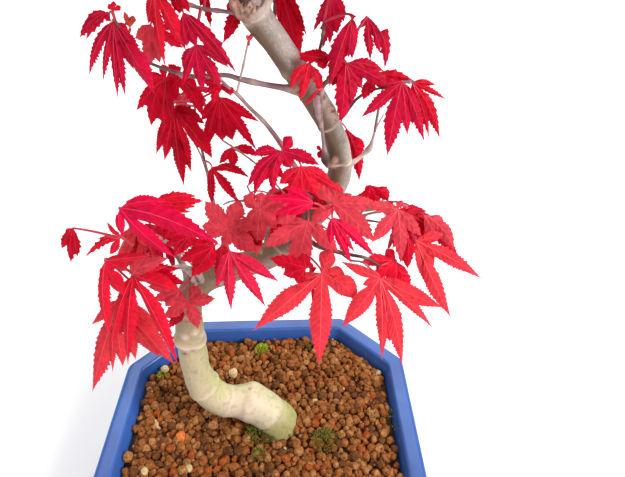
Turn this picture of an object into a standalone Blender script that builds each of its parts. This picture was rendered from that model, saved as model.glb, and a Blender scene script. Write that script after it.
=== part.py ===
"""A Japanese maple bonsai with an S-shaped trunk, in a glazed pot with cut corners.

The pot stands on z = 0 with its length along X, and the origin is the middle of its underside.
The trunk leaves the soil leaning to -X, stands up, crosses to +X and climbs back to the apex.
Boughs leave it at named stations and end where they enter a mass of leaves.
"""

import math
import random

import bmesh
import bpy
from mathutils import Vector

MM = 0.001
GAP = 0.3 * MM            # clearance between pieces that rest on or cut each other

# pot: outer length and width over the rim, length of each cut corner, height
POT_LENGTH = 180 * MM
POT_WIDTH = 156 * MM
POT_CORNER_CUT = 37 * MM
POT_HEIGHT = 60 * MM
POT_CORNER_RADIUS = 8 * MM
POT_CORNER_STEPS = 3
POT_CORNER_SHRINK = 0.25  # corner radius lost for each unit that an outline is moved in
POT_CORNER_LEAST = 2 * MM
POT_SIDE_PIECES = 4
POT_RIM_BAND = 11 * MM    # height of the thick band under the rim
POT_RIM_LIP = 3.5 * MM    # how far that band stands out from the wall
POT_RIM_WIDTH = 9.5 * MM
POT_RIM_ROUND = 1.5 * MM
POT_RIM_STEP = 0.5 * MM   # the inner wall starts this far inside the rim's inner edge
POT_BAND_SLOPE = 1.5 * MM  # height over which the band's underside runs out
POT_BAND_EDGE = 0.8 * MM  # how far in the band's lower edge is
POT_WALL_LEAN = 11 * MM   # how much further in the wall is at its foot than under the band
POT_INNER_LEAN = 12 * MM
POT_FLOOR = 10 * MM
POT_FLOOR_ROUND = 2 * MM
POT_FOOT_BAND = 10 * MM   # width of the foot that runs round the underside
POT_FOOT_EDGE = 0.6 * MM  # how far out the wall is where it meets the foot's outer edge
POT_FOOT_RISE = 1.5 * MM  # height of that edge
POT_FOOT_SLOPE = 0.5 * MM  # width of the step from the foot band up to its arches
POT_ARCH_HEIGHT = 4 * MM  # the foot is arched up between the corners
POT_ARCH_ENDS = 0.72      # the arch takes this share of each long side

SOIL_TOP = 54 * MM
SOIL_EDGE_DROP = 1.5 * MM
SOIL_EDGE_WIDTH = 8 * MM

# Places on the tree are given in mm from the tree's own middle, which is behind the pot's.
TREE_BEHIND = 6.5

# trunk: stations along its middle line, x, y, z and diameter in mm, from below the soil to the tip
TRUNK_LINE = (
    (8, -5, 44, 23),
    (7, -4, 56, 21.5),
    (-1, -2, 66, 20.5),
    (-13, 0, 70, 20),
    (-25, -1, 75.5, 18.5),
    (-31, -2, 88, 17),
    (-33, -2, 104, 15),
    (-33, -1, 122, 14.5),
    (-31.5, 0, 140, 13.2),
    (-29, 1, 155, 13),
    (-22, 3, 164.5, 12.8),
    (-7, 6, 169.5, 12.6),
    (10, 8, 175.5, 12),
    (23, 8, 188, 11.2),
    (33.5, 6, 204, 10.3),
    (39, 5, 214.5, 9.8),
    (40.5, 3.5, 225, 9),
    (38, 1, 238, 8.6),
    (32, -1, 251, 8.6),
    (25, -3, 263, 8.7),
    (18, -4.5, 274, 8.8),
    (12, -6, 284.5, 8.8),
    (12, -4, 296, 7.4),
    (17, -1, 311, 6),
    (23, 2, 326, 4.6),
    (26, 4, 340, 3),
)
TRUNK_SPLITS = {          # each length of trunk between two bends, as stations along the line
    "trunk_foot": (0, 4.5),
    "trunk_lower": (4.5, 9.5),
    "trunk_middle": (9.5, 14.5),
    "trunk_upper": (14.5, 21),
    "trunk_top": (21, 25),
}
TRUNK_SIDES = 12
RINGS_PER_STATION = 2
HEADING_STEP = 0.05       # a limb's direction is read this far each side, in stations
FLARE = 0.12              # extra girth where the trunk meets the soil
FLARE_LENGTH = 8 * MM
GROUND_CUTTER_SIZE = 200 * MM

# boughs: station on the trunk, points on the way and the end, in mm, and diameters at both ends
BOUGHS = {
    "bough_left_low": (9.3, ((-33, -6, 174), (-42, -16, 188)), (-46, -22, 184), 4.0, 2.4),
    "bough_left_front": (9.9, ((-19, -10, 180), (-19, -24, 204)), (-24, -40, 228), 3.8, 2.4),
    "bough_left_back": (9.5, ((-34, 14, 169), (-42, 24, 178)), (-47, 32, 176), 3.8, 2.4),
    "bough_inner_front": (11.4, ((-3, -6, 184),), (-1, -18, 202), 3.2, 2.2),
    "bough_middle_front": (12.6, ((20, -6, 192), (25, -18, 200)), (26, -26, 192), 3.6, 2.4),
    "bough_middle_rising": (
        14.2, ((26.5, 2, 215), (21, 0, 230.5), (14, -2, 243), (8, -4, 253)), (-3, -11, 270), 3, 2),
    "bough_right_front": (13.6, ((38, -4, 192), (49, -14, 193)), (57, -22, 190), 3.6, 2.4),
    "bough_right": (14.4, ((45.5, 4, 203), (57, 0, 206)), (70, -4, 204), 3.6, 2.4),
    "bough_right_back": (14.2, ((46, 16, 200), (58, 26, 194)), (66, 34, 184), 3.6, 2.4),
    "bough_back_low": (12, ((8, 22, 184), (3, 38, 182)), (1, 52, 174), 3.8, 2.4),
    "bough_upper_left": (
        18.7, ((12.5, -3, 261), (5, -2, 264), (-1.5, -1, 266.5), (-12, 0, 267.5)), (-24, -1, 272),
        2.7, 2),
    "bough_back_left": (
        10.9, ((-11, 14, 183), (-15, 22, 194), (-17, 28, 207)), (-21, 36, 226), 3.4, 2.2),
    "bough_front_shoot": (
        16.3, ((36, -4, 231), (32.5, -7, 237), (31.5, -9, 248), (32, -10, 256)), (38, -12, 270),
        3.2, 2.2),
    "bough_upper_right": (17.6, ((41, 1, 247), (44, -3, 254)), (56, -8, 259), 2.8, 2),
    "bough_back_right": (16.2, ((49, 9, 226), (53, 12, 228), (55, 15, 234)), (58, 25, 244), 2.8, 2),
    "bough_upper_back": (20.4, ((17, 5, 278),), (17, 19, 281), 2.6, 2),
    "bough_crown_left": (22.4, ((4, -5, 304), (-10, -4, 311)), (-22, -2, 314), 3, 2.2),
    "bough_crown_right": (22.1, ((24, -4, 302), (42, -2, 304)), (56, 0, 306), 3, 2.2),
    "bough_crown_back": (21.7, ((13, 8, 298), (16, 24, 302)), (17, 36, 304), 3, 2.2),
    "bough_crown_front": (23, ((16, -14, 316), (17, -24, 320)), (17, -32, 322), 2.8, 2),
}
BOUGH_SIDES = 8
BOUGH_RINGS = 9
COLLAR = 0.35             # extra girth of a bough where it leaves the trunk
COLLAR_LENGTH = 1.2       # distance over which it fades, in radii of the trunk

# masses of leaves: middle, half sizes and droop of the rim in mm, turn in degrees, points, seed
MASSES = {
    "foliage_left_hanging": ((-46, -24, 173), (21, 12, 29), 16, 20, 5, 3),
    "foliage_left_shoulder": ((-20, -44, 234), (34, 13, 9), 13, -8, 7, 5),
    "foliage_inner_front": ((-1, -21, 207), (20, 11, 12), 14, 10, 5, 8),
    "foliage_middle_front": ((26, -28, 189), (22, 10, 14), 22, 0, 5, 13),
    "foliage_middle_top": ((28, -19, 231), (25, 13, 12), 8, -6, 7, 21),
    "foliage_right_front": ((60, -28, 190), (24, 13, 11), 20, -12, 5, 34),
    "foliage_right_outer": ((79, -5, 198), (24, 17, 10), 22, -10, 7, 55),
    "foliage_left_back": ((-46, 34, 174), (18, 20, 10), 14, 30, 5, 7),
    "foliage_back_low": ((2, 56, 172), (32, 22, 10), 14, 0, 7, 9),
    "foliage_right_back": ((70, 36, 181), (21, 20, 9), 14, -30, 5, 15),
    "foliage_upper_left_tip": ((-28, -4, 278), (17, 12, 9), 16, 10, 5, 25),
    "foliage_upper_left": ((-6, -13, 276), (11, 6, 8), 14, 0, 5, 35),
    "foliage_back_left": ((-22, 40, 230), (26, 13, 13), 22, 14, 7, 45),
    "foliage_upper_right": ((41, -11, 277), (13, 8, 12), 18, 0, 5, 65),
    "foliage_upper_right_outer": ((63, -8, 260), (14, 9, 7), 16, -10, 5, 75),
    "foliage_back_right": ((59, 28, 247), (12, 10, 8), 12, 20, 5, 85),
    "foliage_upper_back": ((17, 23, 283), (14, 9, 7), 8, -14, 5, 95),
    "foliage_crown_left": ((-24, -2, 314), (28, 24, 11), 13, 16, 7, 105),
    "foliage_crown_right": ((60, 0, 308), (27, 24, 11), 13, -16, 7, 115),
    "foliage_crown_front": ((18, -38, 322), (26, 18, 11), 12, 0, 5, 125),
    "foliage_crown_back": ((16, 42, 304), (29, 19, 12), 14, 6, 7, 135),
    "foliage_crown_top": ((24, 4, 356), (29, 26, 15), 18, 0, 7, 145),
}
MASS_SEGMENTS = 14
MASS_RINGS = 6
MASS_GAP = 1.0 * MM
POINT_DEPTH = 0.13        # how far the points stand out from the rim of a mass
UNEVEN = 0.08             # random share added to each corner of a mass
UNDERSIDE = 0.7           # depth of a mass below its middle, as a share of its height above it
UNDERSIDE_SAG = 0.6       # share of the rim's droop that the middle of the underside takes
RIM_BLUNTNESS = 0.8       # power of the sine that rounds the rim

MATERIALS = {             # base colour, roughness, metallic
    "glaze": ((0.055, 0.115, 0.400), 0.16, 0.0),
    "granular_soil": ((0.215, 0.095, 0.035), 0.95, 0.0),
    "bark": ((0.480, 0.380, 0.270), 0.70, 0.0),
    "leaves": ((0.620, 0.012, 0.030), 0.55, 0.0),
}
SHARP_DEGREES = {         # edges that bend more than this are shaded sharp
    "glaze": 35,
    "granular_soil": 35,
    "bark": 40,
    "leaves": 60,
}


def clear_scene():
    for old in list(bpy.data.objects):
        bpy.data.objects.remove(old, do_unlink=True)


def material(name):
    made = bpy.data.materials.get(name)
    if made is None:
        colour, roughness, metallic = MATERIALS[name]
        made = bpy.data.materials.new(name)
        made.use_nodes = True
        shader = made.node_tree.nodes["Principled BSDF"]
        shader.inputs["Base Color"].default_value = (*colour, 1.0)
        shader.inputs["Roughness"].default_value = roughness
        shader.inputs["Metallic"].default_value = metallic
    return made


def add_object(name, bm, material_name):
    """Turn a bmesh into a smooth-shaded object with its material."""
    bmesh.ops.recalc_face_normals(bm, faces=bm.faces)
    mesh = bpy.data.meshes.new(name)
    bm.to_mesh(mesh)
    bm.free()
    mesh.shade_smooth()
    mesh.set_sharp_from_angle(angle=math.radians(SHARP_DEGREES[material_name]))
    mesh.materials.append(material(material_name))
    made = bpy.data.objects.new(name, mesh)
    bpy.context.scene.collection.objects.link(made)
    return made


def skin_loops(bm, loops):
    """Join closed loops of equal length in order, and close the first and the last with a face."""
    rings = [[bm.verts.new(point) for point in loop] for loop in loops]
    count = len(rings[0])
    for lower, upper in zip(rings, rings[1:]):
        for i in range(count):
            j = (i + 1) % count
            bm.faces.new((lower[i], lower[j], upper[j], upper[i]))
    bm.faces.new(reversed(rings[0]))
    bm.faces.new(rings[-1])


def keep_largest(mesh):
    """Keep only the biggest closed body of a mesh that a cut left in pieces."""
    bm = bmesh.new()
    bm.from_mesh(mesh)
    waiting = set(bm.verts)
    bodies = []
    while waiting:
        body = {waiting.pop()}
        edge_of_body = list(body)
        while edge_of_body:
            vertex = edge_of_body.pop()
            for edge in vertex.link_edges:
                other = edge.other_vert(vertex)
                if other in waiting:
                    waiting.remove(other)
                    body.add(other)
                    edge_of_body.append(other)
        bodies.append(body)
    bodies.sort(key=lambda body: extent(body), reverse=True)
    for body in bodies[1:]:
        bmesh.ops.delete(bm, geom=list(body), context="VERTS")
    bm.to_mesh(mesh)
    bm.free()


def extent(vertices):
    """Length of the diagonal of the box round some vertices."""
    low = Vector(min(v.co[axis] for v in vertices) for axis in range(3))
    high = Vector(max(v.co[axis] for v in vertices) for axis in range(3))
    return (high - low).length


def cut(target, cutters):
    """Cut some solids out of an object and keep its largest body."""
    for cutter in cutters:
        cutter.hide_render = True
        cutter.display_type = "WIRE"
        modifier = target.modifiers.new("cut", "BOOLEAN")
        modifier.operation = "DIFFERENCE"
        modifier.solver = "EXACT"
        modifier.object = cutter
    bpy.context.view_layer.update()
    evaluated = target.evaluated_get(bpy.context.evaluated_depsgraph_get())
    result = bpy.data.meshes.new_from_object(evaluated)
    target.modifiers.clear()
    target.data = result
    keep_largest(result)


def remove(objects):
    for old in objects:
        bpy.data.objects.remove(old, do_unlink=True)


# ---- pot and soil

def corner_arc(corner, before, after, radius, steps):
    """Points of the arc that rounds a corner between two neighbours."""
    towards_before = (before - corner).normalized()
    towards_after = (after - corner).normalized()
    half = towards_before.angle(towards_after) / 2
    start = corner + towards_before * radius / math.tan(half)
    end = corner + towards_after * radius / math.tan(half)
    centre = corner + (towards_before + towards_after).normalized() * radius / math.sin(half)
    arm = start - centre
    sweep = arm.angle(end - centre)
    side = (end - centre - arm * math.cos(sweep)) / math.sin(sweep)
    return [centre + arm * math.cos(sweep * k / steps) + side * math.sin(sweep * k / steps)
            for k in range(steps + 1)]


def pot_outline(inset):
    """The rim's outline, a rectangle with cut and rounded corners, moved in by some distance."""
    half_x = POT_LENGTH / 2 - inset
    half_y = POT_WIDTH / 2 - inset
    corner_cut = POT_CORNER_CUT - inset * (2 - math.sqrt(2))
    radius = max(POT_CORNER_RADIUS - inset * POT_CORNER_SHRINK, POT_CORNER_LEAST)
    quarter = (Vector((half_x, half_y - corner_cut, 0)), Vector((half_x - corner_cut, half_y, 0)))
    corners = [quarter[0], quarter[1]]
    corners += [Vector((-p.x, p.y, 0)) for p in reversed(quarter)]
    corners += [Vector((-p.x, -p.y, 0)) for p in quarter]
    corners += [Vector((p.x, -p.y, 0)) for p in reversed(quarter)]
    points = []
    for i, corner in enumerate(corners):
        before = corners[i - 1]
        after = corners[(i + 1) % len(corners)]
        points += corner_arc(corner, before, after, radius, POT_CORNER_STEPS)
    return points


def divided(points, pieces):
    """The same outline with every long straight side cut into equal pieces."""
    result = []
    for i, point in enumerate(points):
        after = points[(i + 1) % len(points)]
        result.append(point)
        if i % (POT_CORNER_STEPS + 1) == POT_CORNER_STEPS:
            result += [point.lerp(after, k / pieces) for k in range(1, pieces)]
    return result


def arch_height(point):
    """Height of the foot's arch: none at the corners, full height along the middle of a side."""
    half_x = POT_LENGTH / 2 - POT_CORNER_CUT
    half_y = POT_WIDTH / 2 - POT_CORNER_CUT
    along_x = abs(point.x) / (half_x * POT_ARCH_ENDS)
    along_y = abs(point.y) / (half_y * POT_ARCH_ENDS)
    return POT_ARCH_HEIGHT if min(along_x, along_y) < 1.0 else 0.0


def pot_loop(inset, height, arched=False):
    outline = divided(pot_outline(inset), POT_SIDE_PIECES)
    return [Vector((p.x, p.y, height + (arch_height(p) if arched else 0.0))) for p in outline]


def inner_inset(height):
    """How far the inner wall is from the rim's outer edge at a height."""
    depth = (POT_HEIGHT - height) / (POT_HEIGHT - POT_FLOOR)
    return POT_RIM_WIDTH + POT_RIM_STEP + POT_INNER_LEAN * depth


def build_pot():
    foot_inset = POT_RIM_LIP + POT_WALL_LEAN
    band_foot = POT_HEIGHT - POT_RIM_BAND
    loops = [
        pot_loop(foot_inset + POT_FOOT_BAND, 0.0),
        pot_loop(foot_inset + POT_FOOT_BAND - POT_FOOT_SLOPE, 0.0, arched=True),
        pot_loop(foot_inset, 0.0, arched=True),
        pot_loop(foot_inset - POT_FOOT_EDGE, POT_FOOT_RISE, arched=True),
        pot_loop(POT_RIM_LIP, band_foot - POT_BAND_SLOPE),
        pot_loop(POT_BAND_EDGE, band_foot),
        pot_loop(0.0, band_foot + POT_RIM_ROUND),
        pot_loop(0.0, POT_HEIGHT - POT_RIM_ROUND),
        pot_loop(POT_RIM_ROUND, POT_HEIGHT),
        pot_loop(POT_RIM_WIDTH - POT_RIM_ROUND, POT_HEIGHT),
        pot_loop(inner_inset(POT_HEIGHT), POT_HEIGHT - POT_RIM_ROUND),
        pot_loop(inner_inset(POT_FLOOR), POT_FLOOR + POT_FLOOR_ROUND),
        pot_loop(inner_inset(POT_FLOOR) + POT_FLOOR_ROUND, POT_FLOOR),
    ]
    bm = bmesh.new()
    skin_loops(bm, loops)
    return add_object("pot", bm, "glaze")


def build_soil():
    floor = POT_FLOOR + GAP
    edge_top = SOIL_TOP - SOIL_EDGE_DROP
    loops = [
        pot_loop(inner_inset(POT_FLOOR) + POT_FLOOR_ROUND + GAP, floor),
        pot_loop(inner_inset(POT_FLOOR) + 2 * GAP, floor + POT_FLOOR_ROUND),
        pot_loop(inner_inset(edge_top) + 2 * GAP, edge_top),
        pot_loop(inner_inset(edge_top) + SOIL_EDGE_WIDTH, SOIL_TOP),
    ]
    bm = bmesh.new()
    skin_loops(bm, loops)
    return add_object("soil", bm, "granular_soil")


# ---- limbs

def spline(points, station):
    """A smooth curve through points of any size, read at a station counted in points."""
    last = len(points) - 1
    i = min(max(int(math.floor(station)), 0), last - 1)
    u = station - i
    a, b, c, d = (points[min(max(k, 0), last)] for k in (i - 1, i, i + 1, i + 2))
    return tuple(
        0.5 * (2 * q + (r - p) * u + (2 * p - 5 * q + 4 * r - s) * u * u
               + (3 * q - p - 3 * r + s) * u * u * u)
        for p, q, r, s in zip(a, b, c, d)
    )


def trunk_at(station):
    """Middle point and radius of the trunk at a station, with its flare near the soil."""
    x, y, z, diameter = spline(TRUNK_LINE, station)
    y += TREE_BEHIND
    above_soil = max(z * MM - SOIL_TOP, 0.0)
    flare = 1 + FLARE * math.exp(-above_soil / FLARE_LENGTH)
    return Vector((x, y, z)) * MM, diameter / 2 * MM * flare


def heading(line, station):
    """Direction of a middle line at a station."""
    ahead = Vector(spline(line, station + HEADING_STEP)[:3])
    behind = Vector(spline(line, station - HEADING_STEP)[:3])
    return (ahead - behind).normalized()


def tube(name, stations, sides, material_name):
    """A limb with round rings square to its middle line, carried along without twist."""
    bm = bmesh.new()
    loops = []
    across = stations[0][2].orthogonal()
    for centre, radius, along in stations:
        across = (across - along * across.dot(along)).normalized()
        up = along.cross(across)
        loops.append([
            centre + (across * math.cos(turn) + up * math.sin(turn)) * radius
            for turn in (2 * math.pi * k / sides for k in range(sides))
        ])
    skin_loops(bm, loops)
    return add_object(name, bm, material_name)


def trunk_piece(name, start, end, grow):
    """One length of the trunk, with half a gap at each end, or a cutter that is larger all round."""
    count = max(3, round((end - start) * RINGS_PER_STATION))
    stations = []
    for i in range(count + 1):
        station = start + (end - start) * i / count
        centre, radius = trunk_at(station)
        stations.append([centre, radius + grow, heading(TRUNK_LINE, station)])
    shift = GAP / 2 if grow == 0 else -GAP
    stations[0][0] += stations[0][2] * shift
    stations[-1][0] -= stations[-1][2] * shift
    return tube(name, stations, TRUNK_SIDES, "bark")


def box_cutter(name, low, high):
    bm = bmesh.new()
    bmesh.ops.create_cube(bm, size=1.0)
    for vertex in bm.verts:
        vertex.co = Vector(low[a] + (vertex.co[a] + 0.5) * (high[a] - low[a]) for a in range(3))
    return add_object(name, bm, "bark")


def build_trunk():
    """The lengths of the trunk; the first is cut off flat just above the soil."""
    pieces = [trunk_piece(name, *span, 0.0) for name, span in TRUNK_SPLITS.items()]
    reach = GROUND_CUTTER_SIZE / 2
    ground = box_cutter("ground_cutter", (-reach, -reach, 0.0), (reach, reach, SOIL_TOP + GAP))
    cut(pieces[0], [ground])
    remove([ground])
    return pieces


def build_bough(name, station, way, end, thick, thin):
    """A tapering limb from the trunk's middle line to the inside of its mass."""
    origin, trunk_radius = trunk_at(station)
    planted = [(x, y + TREE_BEHIND, z) for x, y, z in (*way, end)]
    points = [tuple(origin / MM)] + planted
    stations = []
    for i in range(BOUGH_RINGS + 1):
        share = i / BOUGH_RINGS
        centre = Vector(spline(points, share * (len(points) - 1))) * MM
        collar = 1 + COLLAR * math.exp(-(centre - origin).length / (trunk_radius * COLLAR_LENGTH))
        radius = (thick + (thin - thick) * share) / 2 * MM
        along = heading(points, share * (len(points) - 1))
        stations.append((centre, radius * collar, along))
    return tube(name, stations, BOUGH_SIDES, "bark")


# ---- masses of leaves

def mass_point(size, droop, points, phase, polar, azimuth, uneven):
    """A squashed ball with a pointed rim that droops with the square of the distance out.

    The underside follows the rim down by a share, so the mass stays thick near its edge.
    """
    rim = math.sin(polar) ** RIM_BLUNTNESS
    reach = rim * (1 + POINT_DEPTH * math.cos(points * azimuth + phase) * rim) * uneven
    below = polar > math.pi / 2
    height = math.cos(polar) * (UNDERSIDE if below else 1.0) * uneven
    sag = reach * reach
    if below:
        sag += UNDERSIDE_SAG * max(1 - sag, 0.0)
    return Vector((
        size[0] * reach * math.cos(azimuth),
        size[1] * reach * math.sin(azimuth),
        size[2] * height - droop * sag,
    ))


def build_mass(name, middle, size, droop, turn, points, seed, grow=0.0):
    """A closed, uneven body of leaves; grow makes the larger copy that cuts its neighbours."""
    draw = random.Random(seed)
    phase = draw.uniform(0, 2 * math.pi)
    middle = (Vector(middle) + Vector((0, TREE_BEHIND, 0))) * MM
    half = [value * MM for value in size]
    turned = math.radians(turn)
    bm = bmesh.new()

    def place(polar, azimuth):
        uneven = 1 + draw.uniform(-UNEVEN, UNEVEN)
        local = mass_point(half, droop * MM, points, phase, polar, azimuth, uneven)
        x = local.x * math.cos(turned) - local.y * math.sin(turned)
        y = local.x * math.sin(turned) + local.y * math.cos(turned)
        return bm.verts.new(middle + Vector((x, y, local.z)))

    top = place(0.0, 0.0)
    rings = []
    for row in range(1, MASS_RINGS):
        polar = math.pi * row / MASS_RINGS
        azimuths = [2 * math.pi * k / MASS_SEGMENTS for k in range(MASS_SEGMENTS)]
        rings.append([place(polar, azimuth) for azimuth in azimuths])
    bottom = place(math.pi, 0.0)
    for k in range(MASS_SEGMENTS):
        after = (k + 1) % MASS_SEGMENTS
        bm.faces.new((top, rings[0][k], rings[0][after]))
        bm.faces.new((bottom, rings[-1][after], rings[-1][k]))
        for upper, lower in zip(rings, rings[1:]):
            bm.faces.new((upper[k], lower[k], lower[after]))
            bm.faces.new((upper[k], lower[after], upper[after]))
    bmesh.ops.recalc_face_normals(bm, faces=bm.faces)
    bm.normal_update()
    for vertex in bm.verts:
        vertex.co += vertex.normal * vertex.calc_shell_factor() * grow
    return add_object(name, bm, "leaves")


def boxes_meet(first, second, margin):
    """Whether the boxes of two objects come within a margin of each other."""
    for axis in range(3):
        a = [v.co[axis] for v in first.data.vertices]
        b = [v.co[axis] for v in second.data.vertices]
        if min(a) > max(b) + margin or min(b) > max(a) + margin:
            return False
    return True


def main():
    clear_scene()
    build_pot()
    build_soil()
    build_trunk()
    trunk_cutters = [
        trunk_piece(name + "_cutter", *span, GAP) for name, span in TRUNK_SPLITS.items()
    ]
    mass_cutters = [
        build_mass(name + "_cutter", *values, grow=MASS_GAP) for name, values in MASSES.items()
    ]
    for i, (name, values) in enumerate(MASSES.items()):
        mass = build_mass(name, *values)
        near = [c for c in trunk_cutters + mass_cutters[:i] if boxes_meet(mass, c, MM)]
        cut(mass, near)
    for name, values in BOUGHS.items():
        bough = build_bough(name, *values)
        near = [c for c in trunk_cutters + mass_cutters if boxes_meet(bough, c, MM)]
        cut(bough, near)
    remove(trunk_cutters + mass_cutters)


main()
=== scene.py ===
import math

import bmesh
import bpy
import numpy as np
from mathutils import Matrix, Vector


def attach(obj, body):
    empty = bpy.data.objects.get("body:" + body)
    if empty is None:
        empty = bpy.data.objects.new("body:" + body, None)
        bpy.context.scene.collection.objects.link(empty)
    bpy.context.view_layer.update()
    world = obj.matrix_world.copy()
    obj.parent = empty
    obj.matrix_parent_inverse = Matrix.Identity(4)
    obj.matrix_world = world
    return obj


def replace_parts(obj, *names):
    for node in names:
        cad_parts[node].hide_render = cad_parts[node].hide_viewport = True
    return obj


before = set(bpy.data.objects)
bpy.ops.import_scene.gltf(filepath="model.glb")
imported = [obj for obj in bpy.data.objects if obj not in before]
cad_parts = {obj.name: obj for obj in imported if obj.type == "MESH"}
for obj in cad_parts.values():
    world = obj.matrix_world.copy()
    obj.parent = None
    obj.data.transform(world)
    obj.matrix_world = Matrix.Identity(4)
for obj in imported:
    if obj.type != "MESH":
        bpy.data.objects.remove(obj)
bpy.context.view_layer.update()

mm = 0.001  # every table below is in millimetres


# ---- view and light

treeBehind = 6.5  # the tree is planted this far behind the middle of the pot

view = {
    "place": (24.5, -154.5, 321.0),
    "pitchDown": 38.9,
    "yawRight": 1.76,
    "focalPixels": 480.0,
    "width": 625,
    "height": 477,
    "sensor": 36.0,
}

eye = np.array(view["place"])

studio = {
    "world": "#ffffff",
    "worldStrength": 0.56,
    "lamps": {  # place and aim in metres, side of the square, watts
        "key": ((1.00, -0.55, 0.95), (0.0, 0.0, 0.2), 0.55, 22.0),
        "fill": ((-0.60, -0.95, 0.80), (0.0, 0.0, 0.2), 1.0, 3.0),
        "backdrop": ((0.0, 1.35, 1.30), (0.0, 1.15, 0.0), 1.6, 22.0),
    },
    "floor": "#f4f5f7",
    "floorHalf": 4000.0, "floorLines": 9,
}


def viewAxes():
    # right, up and forward of the camera, from its pitch and yaw
    pitch = math.radians(view["pitchDown"])
    yaw = math.radians(view["yawRight"])
    forward = np.array([math.sin(yaw) * math.cos(pitch), math.cos(yaw) * math.cos(pitch),
                        -math.sin(pitch)])
    right = np.array([math.cos(yaw), -math.sin(yaw), 0.0])
    return right, np.cross(right, forward), forward


def sightLine(pixel):
    # direction through a pixel, one unit deep: forward plus the pixel's offsets over the focal length
    right, up, forward = viewAxes()
    across = (pixel[0] - view["width"] / 2) / view["focalPixels"]
    down = (pixel[1] - view["height"] / 2) / view["focalPixels"]
    return forward + right * across - up * down


def pointAtDepth(pixel, depth):
    # where the line of sight through a pixel is as far behind the middle of the tree as depth says
    line = sightLine(pixel)
    return eye + line * (depth + treeBehind - eye[1]) / line[1]


def pointAtHeight(pixel, height):
    # where the line of sight through a pixel reaches z = height
    line = sightLine(pixel)
    return eye + line * (height - eye[2]) / line[2]


def toPixels(points):
    # perspective: offsets from the eye over the distance ahead, times the focal length
    right, up, forward = viewAxes()
    away = np.asarray(points) - eye
    ahead = away @ forward
    across = view["width"] / 2 + view["focalPixels"] * (away @ right) / ahead
    down = view["height"] / 2 - view["focalPixels"] * (away @ up) / ahead
    return np.stack([across, down], axis=-1)


def linearColour(hexText):
    # sRGB to linear: each channel over 255 goes through the sRGB curve
    channels = np.array([int(hexText[i:i + 2], 16) for i in (1, 3, 5)]) / 255
    curved = ((channels + 0.055) / 1.055) ** 2.4
    return (*(float(c) for c in np.where(channels <= 0.04045, channels / 12.92, curved)), 1.0)


def buildCamera():
    # the focal length in mm is that in pixels over the width in pixels, times the width of the sensor
    lens = bpy.data.cameras.new("view")
    lens.sensor_width = view["sensor"]
    lens.lens = view["focalPixels"] / view["width"] * view["sensor"]
    lens.clip_start = 0.01
    lens.clip_end = 50.0
    camera = bpy.data.objects.new("view", lens)
    camera.location = Vector(view["place"]) * mm
    camera.rotation_euler = (math.radians(90 - view["pitchDown"]), 0.0, math.radians(-view["yawRight"]))
    bpy.context.scene.collection.objects.link(camera)
    bpy.context.scene.camera = camera


def buildLights():
    # square lamps, each turned to look from its place to its aim, under an even white world
    for name, (place, aim, size, watts) in studio["lamps"].items():
        lamp = bpy.data.lights.new(name, "AREA")
        lamp.shape = "SQUARE"
        lamp.size = size
        lamp.energy = watts
        holder = bpy.data.objects.new(name, lamp)
        holder.location = place
        holder.rotation_euler = (Vector(aim) - Vector(place)).to_track_quat("-Z", "Y").to_euler()
        bpy.context.scene.collection.objects.link(holder)
    world = bpy.data.worlds.new("studio")
    world.use_nodes = True
    back = world.node_tree.nodes["Background"]
    back.inputs["Color"].default_value = linearColour(studio["world"])
    back.inputs["Strength"].default_value = studio["worldStrength"]
    bpy.context.scene.world = world
    bpy.context.scene.view_settings.view_transform = "Standard"


# ---- materials

def addNode(tree, kind, settings=(), inputs=()):
    # one node with its settings; each input is a fixed value or the socket that feeds it
    node = tree.nodes.new("ShaderNode" + kind)
    for name, value in dict(settings).items():
        setattr(node, name, value)
    for socket, value in dict(inputs).items():
        if isinstance(value, bpy.types.NodeSocket):
            tree.links.new(value, node.inputs[socket])
        else:
            node.inputs[socket].default_value = value
    return node


def newMaterial(name):
    # an empty material, with the object coordinates that its patterns read
    made = bpy.data.materials.new(name)
    made.use_nodes = True
    tree = made.node_tree
    tree.nodes.clear()
    return made, tree, addNode(tree, "TexCoord").outputs["Object"]


def finishMaterial(made, tree, shader):
    # the shader joined to the material's surface
    addNode(tree, "OutputMaterial", (), {"Surface": shader.outputs[0]})
    return made


def attributeOf(tree, name):
    # a value that the mesh carries at each of its points
    return addNode(tree, "Attribute", {"attribute_name": name}).outputs["Fac"]


def mathOf(tree, operation, *terms):
    # arithmetic on two or three terms
    return addNode(tree, "Math", {"operation": operation}, dict(enumerate(terms))).outputs["Value"]


def rangeOf(tree, value, fromLow, fromHigh, toLow=0.0, toHigh=1.0, how="LINEAR"):
    # a value carried from one range to another and kept inside it
    return addNode(tree, "MapRange", {"interpolation_type": how}, {
        "Value": value, "From Min": fromLow, "From Max": fromHigh, "To Min": toLow, "To Max": toHigh,
    }).outputs["Result"]


def mixOf(tree, share, first, second, blend="MIX"):
    # two colours, the second one blended over the first by a share
    return addNode(tree, "Mix", {"data_type": "RGBA", "blend_type": blend},
                   {"Factor": share, "A": first, "B": second}).outputs["Result"]


def noiseOf(tree, place, size, detail=3.0, roughness=0.5):
    # noise with lumps of a real size in mm
    return addNode(tree, "TexNoise", (), {"Vector": place, "Scale": 1 / (size * mm), "Detail": detail,
                                          "Roughness": roughness}).outputs["Fac"]


def rampOf(tree, share, stops):
    # colours read at a share between stops, each a place and an sRGB hex colour
    node = addNode(tree, "ValToRGB", (), {"Fac": share})
    ramp = node.color_ramp
    while len(ramp.elements) > 1:
        ramp.elements.remove(ramp.elements[-1])
    for i, (place, colour) in enumerate(stops):
        element = ramp.elements[0] if i == 0 else ramp.elements.new(place)
        element.position = place
        element.color = linearColour(colour)
    return node.outputs["Color"]


def noiseRamp(tree, place, size, stops, detail=3.0):
    # noise with lumps of a real size, turned into colours
    return rampOf(tree, noiseOf(tree, place, size, detail), stops)


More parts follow.
